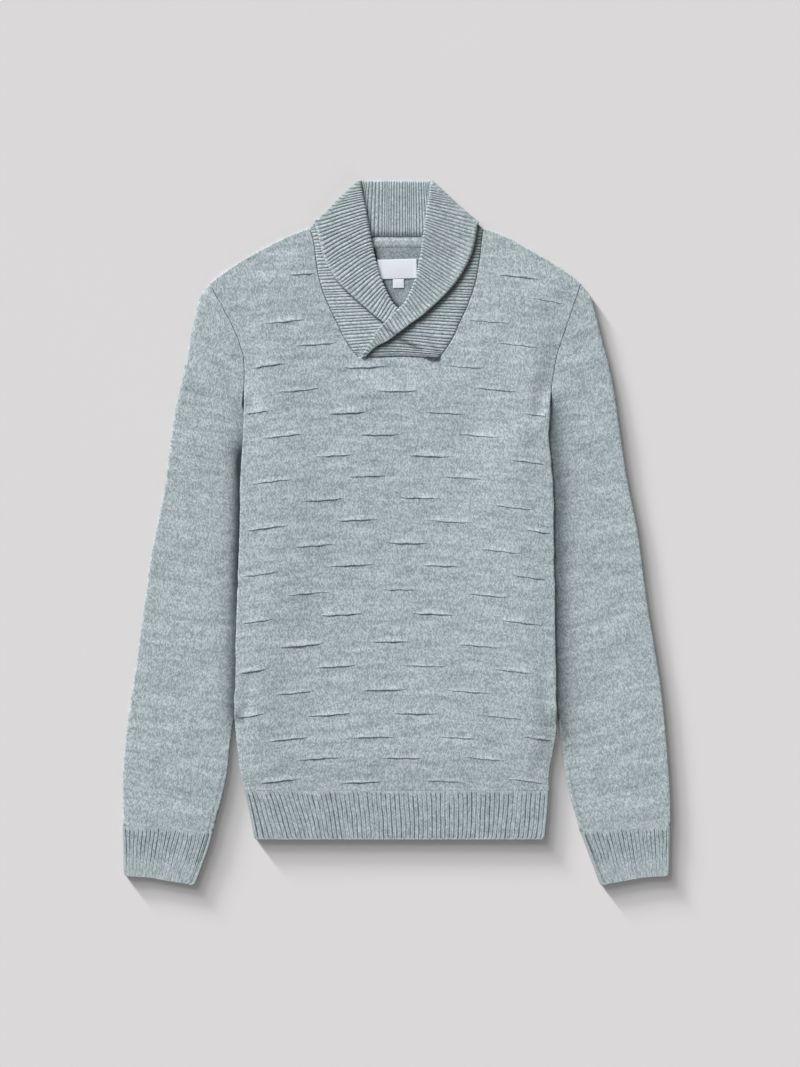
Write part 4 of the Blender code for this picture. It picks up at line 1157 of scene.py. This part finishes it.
# How much darker the hem and cuffs are all over, mixed in through the shade attribute
TUBE_SHADE = 0.11
RIB_SEGMENTS = 10
SIDES_APART = 1000.0
CUFF_PITCH = 4.7
HEM_PITCH = 5.25
FOOT_CORNER = 4.0
FOOT_ROUND = 1.2
TUBE_STEPS = (0.0, 0.004, 0.015, 0.035, 0.06, 0.09, 0.14, 0.22, 0.3, 0.38, 0.46, 0.54, 0.62, 0.7, 0.78, 0.85,
              0.9, 0.94, 0.965, 0.982, 0.993, 1.0)
INSIDE_STEPS = 5
RIB_STRENGTHS = (0.75, 1.15)
RIB_BEGINS = (0.0, 0.055)


def quarter_round(share):
    """How far a rounded corner has drawn in: 1 at its tip, where the share is 1, and 0 before the corner."""
    return 1.0 - math.sqrt(1.0 - max(0.0, share) ** 2)


def tube_ribs(across, strength):
    """How deep a ribbed tube is at each place, which both lowers it and darkens it with painted shade: a dark groove
    a rib, and a fainter one between.
    """
    return 1.35 * strength * bell(across % 1.0, 0.5, 0.15) + 0.5 * bell((across + 0.5) % 1.0, 0.5, 0.12)


def make_ribbed(name, corners, wall, pitch, seed, fan=(0.0, 0.0), fade=0.0, seamed=0.0):
    """A flattened ribbed tube between the corners of its top and foot, its foot bound off and rounded."""
    top, foot = corners
    ribs = round((length_of(top[1] - top[0]) - 2 * wall) / pitch)
    places = ring_steps(6, ribs * RIB_SEGMENTS, ribs * RIB_SEGMENTS)
    strength, begins = (np.array([random.uniform(*span) for _ in range(ribs + 1)])
                        for span in (RIB_STRENGTHS, RIB_BEGINS))
    quarter, share = sides_of(places)
    across, face = ribs * share, np.where(quarter == 1, 1.0, 0.0)
    rib = np.minimum(across.astype(int), ribs)
    rings, grooves = [], []
    for number, step in enumerate([*TUBE_STEPS, *np.linspace(1.0, 0.0, INSIDE_STEPS)]):
        inside = number >= len(TUBE_STEPS)
        up = (1.0 - step) * TUBE_LENGTH
        first, last = blend(top[0], foot[0], step), blend(top[1], foot[1], step)
        trim = FOOT_CORNER * quarter_round(1.0 - up / FOOT_CORNER) / length_of(last - first)
        first, last = blend(first, last, trim), blend(last, first, trim)
        line, width = along([first, last]), length_of(last - first)
        height = blend(SLEEVE_HEIGHT, 2 * wall + LAYER_GAP, float(smooth(0.0, 0.6, step)))
        inset = wall if inside else 0.45 * quarter_round(1.0 - up / FOOT_ROUND)
        ring, distance = flat_ring(line, width, 1.0, inset, height, places)
        rows = np.full(len(across), step * TUBE_LENGTH)
        bound = smooth(begins[rib], begins[rib] + 0.04, step) * smooth(1.0, 0.975, step)
        uneven = 0.8 + 0.45 * ripple(across, rows, 0.9, 9.0, seed)
        depth = tube_ribs(across, strength[rib]) * bound * uneven * (1.0 - fade * smooth(0.4, 0.8, step))
        seam = seamed * seam_ridge(width - distance) * face
        if not inside:
            ring[:, 2] -= (0.5 * depth + 0.4 * seam) * face
            sway = 0.8 * ripple(across, rows, 3.5, 16.0, seed + 3.0)
            spread = fan[0] * bell(share, 0.13, 0.13) - fan[1] * bell(share, 0.87, 0.13)
            ring[:, 0] += face * (sway + spread * (step - 0.3)) * smooth(0.0, 0.03, share) * smooth(1.0, 0.97, share)
        rings.append(ring)
        # the groove attribute: painted shade in the rib grooves and the seam's groove, and lighter at the bound-off
        # foot
        bound_off = 0.6 * float(smooth(0.968, 0.99, step))
        grooves.append(np.where(quarter % 2 == 1, depth, 0.0) - bound_off + 0.6 * seam)
    nominal = across * RIB_NOMINAL + quarter * SIDES_APART
    down = np.concatenate([TUBE_STEPS, [1.05] * INSIDE_STEPS, [0.0]]) * TUBE_LENGTH
    shades = np.full((len(rings) + 1, len(places)), TUBE_SHADE)
    return tube(name, ribbing, rings + rings[:1], lambda column, row, spot: pair(nominal[column], -down[row]),
                shades, grooves + grooves[:1])


def make_cuff(side, name):
    corners = [[np.array((side * x, y)) for x, y in (row[1:3], row[3:5])] for row in (SLEEVE[-1], CUFF_FOOT)]
    return make_ribbed(name, corners, CUFF_WALL, CUFF_PITCH, side, fade=0.6, seamed=1.0)


def make_hem():
    corners = [[np.array((float(edge(y)), y)) for edge in (body_left, body_right)]
               for y in (HEM_SEAM_Y, HEM_FOOT_Y)]
    return make_ribbed("hem_ribbing", corners, HEM_WALL, HEM_PITCH, 0.4, fan=(7.0, 1.5))


# --- trim ---

TRIM_RIM = (0.0, 0.2, 0.6)
TRIM_ROUND = 0.5
LINKING_STEP = 3.1
LINKING_HEIGHT = 0.72
LINKING_TURN = 0.9
LINKING_SIZE = (1.7, 0.8, 0.7)


def make_strip(name, box, finish, crown, step, turn=0.0, ends=0.0, sink=0.0):
    """A thin strip on the inside of the back: rim rounded, middle raised, a little turned, ends folded under."""
    left, right, bottom, top = box
    across, up = near_ends(right - left, step, TRIM_RIM), near_ends(top - bottom, step, TRIM_RIM)
    cloth = Cloth()
    cloth.grid(len(across) - 1, len(up) - 1)
    cloth.thicken()

    def flat(column, row):
        return blend(left, right, across[column]), blend(bottom, top, up[row])

    def place(column, row, face):
        x, y = flat(column, row)
        by_end = np.minimum(x - left, right - x)
        inside = np.minimum(by_end, np.minimum(y - bottom, top - y))
        bulge = crown * np.sin(math.pi * across[column]) * np.sin(math.pi * up[row])
        z = TRIM_LEVEL + TRIM_WALL / 2 + face * rounded(inside, TRIM_WALL, TRIM_ROUND) + bulge
        z -= sink * (1.0 - smooth(0.0, 3.0, inside))
        z += ends * smooth(3.4, 2.6, by_end) * smooth(0.0, 0.5, inside) * (face > 0)
        aside, above = x - (left + right) / 2, y - (bottom + top) / 2
        return np.stack([x - turn * above, y + turn * aside, z], 1)

    cloth.settle(place, lambda column, row: pair(*flat(column, row)))
    return cloth.piece(name, finish)


def neck_linking():
    """Linking stitches, short and rounded, over the seam between the front and the collar."""
    run = front_neck_run()
    length = length_of(np.diff(run, axis=0)).sum()
    bm = bmesh.new()
    bm.loops.layers.uv.new("knit")
    for side in (-1, 1):
        line = along(beside_neck(side, run - (SEAM_GAP / 2, 0.0)))
        for share in (np.arange(int(length / LINKING_STEP)) + 0.5) * LINKING_STEP / length:
            here, there = line(share), line(share + 0.01)
            angle = math.atan2(there[1] - here[1], there[0] - here[0]) + LINKING_TURN * side
            made = bmesh.ops.create_icosphere(bm, subdivisions=1, radius=0.5)["verts"]
            bmesh.ops.scale(bm, vec=LINKING_SIZE, verts=made)
            bmesh.ops.rotate(bm, verts=made, cent=(0.0, 0.0, 0.0), matrix=Euler((0.0, 0.0, angle)).to_matrix())
            bmesh.ops.translate(bm, verts=made, vec=(*as_laid(*here), FRONT_LEVEL + LINKING_HEIGHT))
    return finished(bm, "neck_linking", linking_thread)


# --- finishes ---

def operator(operation):
    """A method that puts a shader value and another one through this operation."""
    return lambda self, other: self.math(operation, other)


class Value:
    """A shader value that Python's operators work on."""

    def __init__(self, finish, socket):
        self.finish, self.socket = finish, socket

    def math(self, operation, *others):
        return self.finish.node("ShaderNodeMath", {"operation": operation}, dict(enumerate((self, *others))))

    def __rsub__(self, other):
        return self * -1.0 + other

    __add__ = __radd__ = operator("ADD")
    __sub__ = operator("SUBTRACT")
    __mul__ = __rmul__ = operator("MULTIPLY")
    __truediv__ = operator("DIVIDE")
    __pow__ = operator("POWER")


class Finish:
    """A material and its nodes."""

    def __init__(self, name, roughness, **constants):
        self.material = bpy.data.materials.new(name)
        self.material.use_nodes = True
        self.tree = self.material.node_tree
        self.shader = self.tree.nodes["Principled BSDF"]
        self.shader.inputs["Roughness"].default_value = roughness
        for socket, value in constants.items():
            self.shader.inputs[socket.replace("_", " ")].default_value = value

    def node(self, kind, settings=None, inputs=None, out=0):
        """Adds a node, its settings first, then the values or links of its sockets."""
        made = self.tree.nodes.new(kind)
        for name, value in (settings or {}).items():
            setattr(made, name, value)
        for socket, value in (inputs or {}).items():
            if isinstance(value, Value):
                self.tree.links.new(value.socket, made.inputs[socket])
            else:
                made.inputs[socket].default_value = value
        return Value(self, made.outputs[out])

    def knit_place(self):
        """The knit's own measure, and its parts across and along the wales."""
        uv = self.node("ShaderNodeUVMap", {"uv_map": "knit"})
        across = self.node("ShaderNodeSeparateXYZ", {}, {"Vector": uv})
        return uv, across, Value(self, across.socket.node.outputs["Y"])

    def measured(self, name):
        return self.node("ShaderNodeAttribute", {"attribute_name": name}, out="Fac")

    def mix(self, share, first, second, blend_type="MIX"):
        first, second = (colour if isinstance(colour, Value) else (*colour, 1.0) for colour in (first, second))
        return self.node("ShaderNodeMix", {"data_type": "RGBA", "blend_type": blend_type},
                         {0: share, 6: first, 7: second}, out=2)

    def ramp(self, share, stops):
        made = self.node("ShaderNodeValToRGB", {}, {0: share})
        elements = made.socket.node.color_ramp.elements
        while len(elements) < len(stops):
            elements.new(0.5)
        for element, (position, colour) in zip(elements, stops):
            element.position, element.color = position, (*colour, 1.0)
        return made

    def noise(self, vector, stretch, roughness):
        """Noise drawn out to lengths in the vector's own unit."""
        mapped = self.node("ShaderNodeMapping", {}, {
            "Vector": vector, "Scale": tuple(1.0 / length for length in stretch)})
        return self.node("ShaderNodeTexNoise", {}, {
            "Vector": mapped, "Scale": 1.0, "Detail": 2.0, "Roughness": roughness})

    def done(self, colour, height=None, strength=0.0, distance=0.0):
        """Links the colour, and the height as a bump, and gives the material."""
        self.tree.links.new(colour.socket, self.shader.inputs["Base Color"])
        if height is not None:
            bump = self.node("ShaderNodeBump", {}, {"Height": height, "Strength": strength, "Distance": distance})
            self.tree.links.new(bump.socket, self.shader.inputs["Normal"])
        return self.material


def clamp(value):
    return value.finish.node("ShaderNodeClamp", {}, {"Value": value})


STITCH_COURSE = 1.8
MELANGE_WALE = 2.6


def stitch_cells(finish, across, along_wale, wale):
    """Stockinette: columns of small Vs. Gives each leg's own random number, and its height."""
    aside = (across / wale).math("FRACT") - 0.5
    leg = aside.math("ABSOLUTE") * 2.0
    climb = along_wale / STITCH_COURSE + leg * 0.6
    cell = finish.node("ShaderNodeCombineXYZ", {}, {
        "X": (across / (wale / 2)).math("FLOOR"), "Y": climb.math("FLOOR")})
    chance = finish.node("ShaderNodeTexWhiteNoise", {"noise_dimensions": "2D"}, {"Vector": cell})
    rounded_leg = 1.0 - ((leg - 0.5) * 2.0) ** 2.0
    strand = (climb.math("FRACT") * math.pi).math("SINE")
    return chance, rounded_leg * 0.6 + strand * 0.4


MELANGE_STOPS = (
    (0.0, (0.072, 0.103, 0.108)),
    (0.3, (0.229, 0.286, 0.299)),
    (0.5, (0.363, 0.433, 0.451)),
    (0.7, (0.532, 0.603, 0.623)),
    (1.0, (0.86, 0.9, 0.926)),
)
# The colour that the shade attribute mixes in: painted shade, and the darker tone of the hem and cuffs
PAINTED_SHADE_COLOUR = (0.027, 0.044, 0.047)
COOL_FIBRE, WARM_FIBRE = (1.05, 0.985, 1.045), (0.95, 1.015, 0.965)


def fibres(finish, tone, uv):
    """The melange's greys for a tone, with a little of its cool and warm fibres, and the shade attribute's painted
    shade where light can't reach.
    """
    hue = finish.noise(uv, (3.2, 2.2, 1.0), 0.7)
    tint = finish.mix(clamp((hue - 0.5) * 2.2 + 0.5), COOL_FIBRE, WARM_FIBRE)
    tinted = finish.mix(1.0, finish.ramp(clamp(tone), MELANGE_STOPS), tint, "MULTIPLY")
    return finish.mix(clamp(finish.measured("shade") * 0.9), tinted, PAINTED_SHADE_COLOUR)


def melange_finish(name):
    """Melange stockinette: every stitch its own grey, and fibres of several greys drawn out along the rows."""
    finish = Finish(name, 0.93)
    uv, across, wale = finish.knit_place()
    streak = finish.noise(uv, (14.0, 2.8, 1.0), 0.6)
    cloud = finish.noise(uv, (44.0, 8.0, 1.0), 0.5)
    fleck = finish.noise(uv, (4.6, 2.0, 1.0), 0.6)
    chance, height = stitch_cells(finish, across, wale, MELANGE_WALE)
    tone = (streak - 0.5) * 0.24 + (cloud - 0.5) * 0.38 + (fleck - 0.5) * 0.08
    # the stitch height darkens the hollows between legs and courses and lightens the raised legs: painted shading of
    # the knit's relief
    tone = tone + (chance - 0.5) * 0.36 + (height - 0.62) * 0.14 + 0.55
    return finish.done(fibres(finish, tone, uv), height * 0.8 + streak * 0.4, 0.3, 0.0004)


def rib_finish(name):
    """Rib knit: ridges of melange stitches one above another, with broken grooves between them darkened with painted
    shade.
    """
    finish = Finish(name, 0.93)
    uv, across, wale = finish.knit_place()
    groove = finish.measured("groove")
    grain = finish.noise(uv, (1.8, 1.7, 1.0), 0.75)
    streak = finish.noise(uv, (9.0, 12.0, 1.0), 0.6)
    chance, height = stitch_cells(finish, across, wale, RIB_NOMINAL / 2)
    # painted shading of the stitch relief from its height, and painted shade in the grooves; lighter where the
    # groove is negative
    tone = (grain - 0.5) * 0.2 + (streak - 0.5) * 0.26 + (chance - 0.5) * 0.36 + (height - 0.62) * 0.2 + 0.63
    tone = tone - clamp(groove) ** 1.5 * (chance * 0.4 + 0.6) * 0.68 + clamp(groove * -1.0) * 0.1
    return finish.done(fibres(finish, tone, uv), height * 0.8, 0.4, 0.0004)


def satin_finish(name):
    """White woven satin: fine lengthwise floats with a soft sheen."""
    finish = Finish(name, 0.42, Specular_IOR_Level=0.45)
    uv, _, wale = finish.knit_place()
    float_line = ((wale / 0.32) * (2 * math.pi)).math("SINE") * 0.5 + 0.5
    uneven = finish.noise(uv, (6.0, 1.2, 1.0), 0.5)
    white = finish.mix(clamp(float_line * 0.35 + uneven * 0.65), (0.74, 0.78, 0.86), (0.9, 0.92, 0.96))
    return finish.done(white, float_line, 0.25, 0.0001)


def thread_finish(name, dark, light):
    """Sewing thread: two plies of slightly different tone."""
    finish = Finish(name, 0.8)
    ply = finish.noise(finish.node("ShaderNodeTexCoord", out="Object"), (0.0012, 0.0012, 0.0012), 0.6)
    return finish.done(finish.mix(clamp(ply), dark, light), ply, 0.4, 0.0002)


def card_finish(name):
    """Plain pale card."""
    finish = Finish(name, 0.85, Specular_IOR_Level=0.1)
    grain = finish.noise(finish.node("ShaderNodeTexCoord", out="Object"), (0.4, 0.4, 0.4), 0.5)
    return finish.done(finish.mix(grain, (0.708, 0.693, 0.693), (0.722, 0.708, 0.708)))


melange = melange_finish("melange_knit")
ribbing = rib_finish("rib_knit")
satin = satin_finish("woven_satin")
linking_thread = thread_finish("linking_thread", (0.1, 0.13, 0.135), (0.26, 0.32, 0.33))
card = card_finish("pale_card")


# --- making the garment ---

def wear(piece, node_name):
    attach(piece, "root")
    if node_name:
        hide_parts(node_name)
    return piece


back = wear(make_back(), "body_back")
front, front_outline = make_front()
wear(front, "body_front")
pin_tucks = wear(make_tucks(front_outline), None)
left_sleeve = wear(make_sleeve(-1, "left_sleeve"), "sleeve_left")
right_sleeve = wear(make_sleeve(1, "right_sleeve"), "sleeve_right")
left_cuff = wear(make_cuff(-1, "left_cuff"), "cuff_left")
right_cuff = wear(make_cuff(1, "right_cuff"), "cuff_right")
hem = wear(make_hem(), "hem_band")
collar = wear(make_collar(), "collar")
linking = wear(neck_linking(), None)
tape = wear(make_strip("back_neck_tape", TAPE, melange, 0.0, 2.0, sink=0.95), "neck_tape")
label = wear(make_strip("blank_neck_label", LABEL, satin, 0.45, 0.8, 0.03, 0.25), "neck_label")
tab = wear(make_strip("blank_size_tab", SIZE_TAB, satin, 0.2, 1.0, 0.02), "size_tab")


# --- stage ---

FLOOR_HALF = 4.0
FLOOR_Z = -0.0002
SKY_LIGHT = 0.24
EYE_AT = (0.004, -0.0006, 3.006)
EYE_HEIGHT = 3000.0
PICTURE_HEIGHT = 1216.4
SENSOR = 36.0
WINDOW_AWAY = 3.0

# A window's share of the light on the flat, its height and spread in degrees, whether it lights the card or all
# the rest, and which way its beam goes
Window = namedtuple("Window", "name share height spread on_card towards")
WINDOWS = (
    Window("window", 0.66, 29.0, 26.0, False, (0.515, -0.857)),
    Window("low_window", 0.235, 5.6, 4.5, True, (0.6, -0.8)),
    Window("middle_window", 0.235, 10.5, 10.0, True, (0.6, -0.8)),
    Window("high_window", 0.22, 21.0, 28.0, True, (0.6, -0.8)),
    Window("far_window", 0.05, 20.0, 36.0, True, (-0.515, 0.857)),
)


def daylight(window, receivers):
    """A window's light. One at the upper left sends its beam down and to the right."""
    height = math.radians(window.height)
    light = bpy.data.lights.new(window.name, "SUN")
    light.energy = window.share * math.pi / math.sin(height)
    light.angle = math.radians(window.spread)
    lamp = add_object(window.name, light)
    flat = math.cos(height)
    beam = Vector((window.towards[0] * flat, window.towards[1] * flat, -math.sin(height)))
    lamp.rotation_mode = "QUATERNION"
    lamp.rotation_quaternion = beam.to_track_quat("-Z", "Y")
    lamp.location = -WINDOW_AWAY * beam
    lamp.light_linking.receiver_collection = receivers


def make_stage():
    bm = bmesh.new()
    bmesh.ops.create_grid(bm, x_segments=1, y_segments=1, size=FLOOR_HALF)
    bmesh.ops.translate(bm, verts=bm.verts, vec=(0.0, 0.0, FLOOR_Z))
    floor = as_object(bm, "floor", card)

    world = bpy.data.worlds.new("studio")
    bpy.context.scene.world = world
    world.use_nodes = True
    sky = world.node_tree.nodes["Background"].inputs
    sky["Color"].default_value = (1.0, 1.0, 1.0, 1.0)
    sky["Strength"].default_value = SKY_LIGHT

    receivers = {}
    for on_card, name, state in ((True, "on_card", "INCLUDE"), (False, "off_card", "EXCLUDE")):
        receivers[on_card] = bpy.data.collections.new(name)
        receivers[on_card].objects.link(floor)
        receivers[on_card].collection_objects[0].light_linking.link_state = state
    for window in WINDOWS:
        daylight(window, receivers[window.on_card])

    eye = bpy.data.cameras.new("camera")
    eye.sensor_width = SENSOR
    eye.lens = SENSOR * EYE_HEIGHT / PICTURE_HEIGHT
    camera = add_object("camera", eye)
    camera.location = EYE_AT
    bpy.context.scene.camera = camera
    bpy.context.scene.view_settings.view_transform = "Standard"


make_stage()
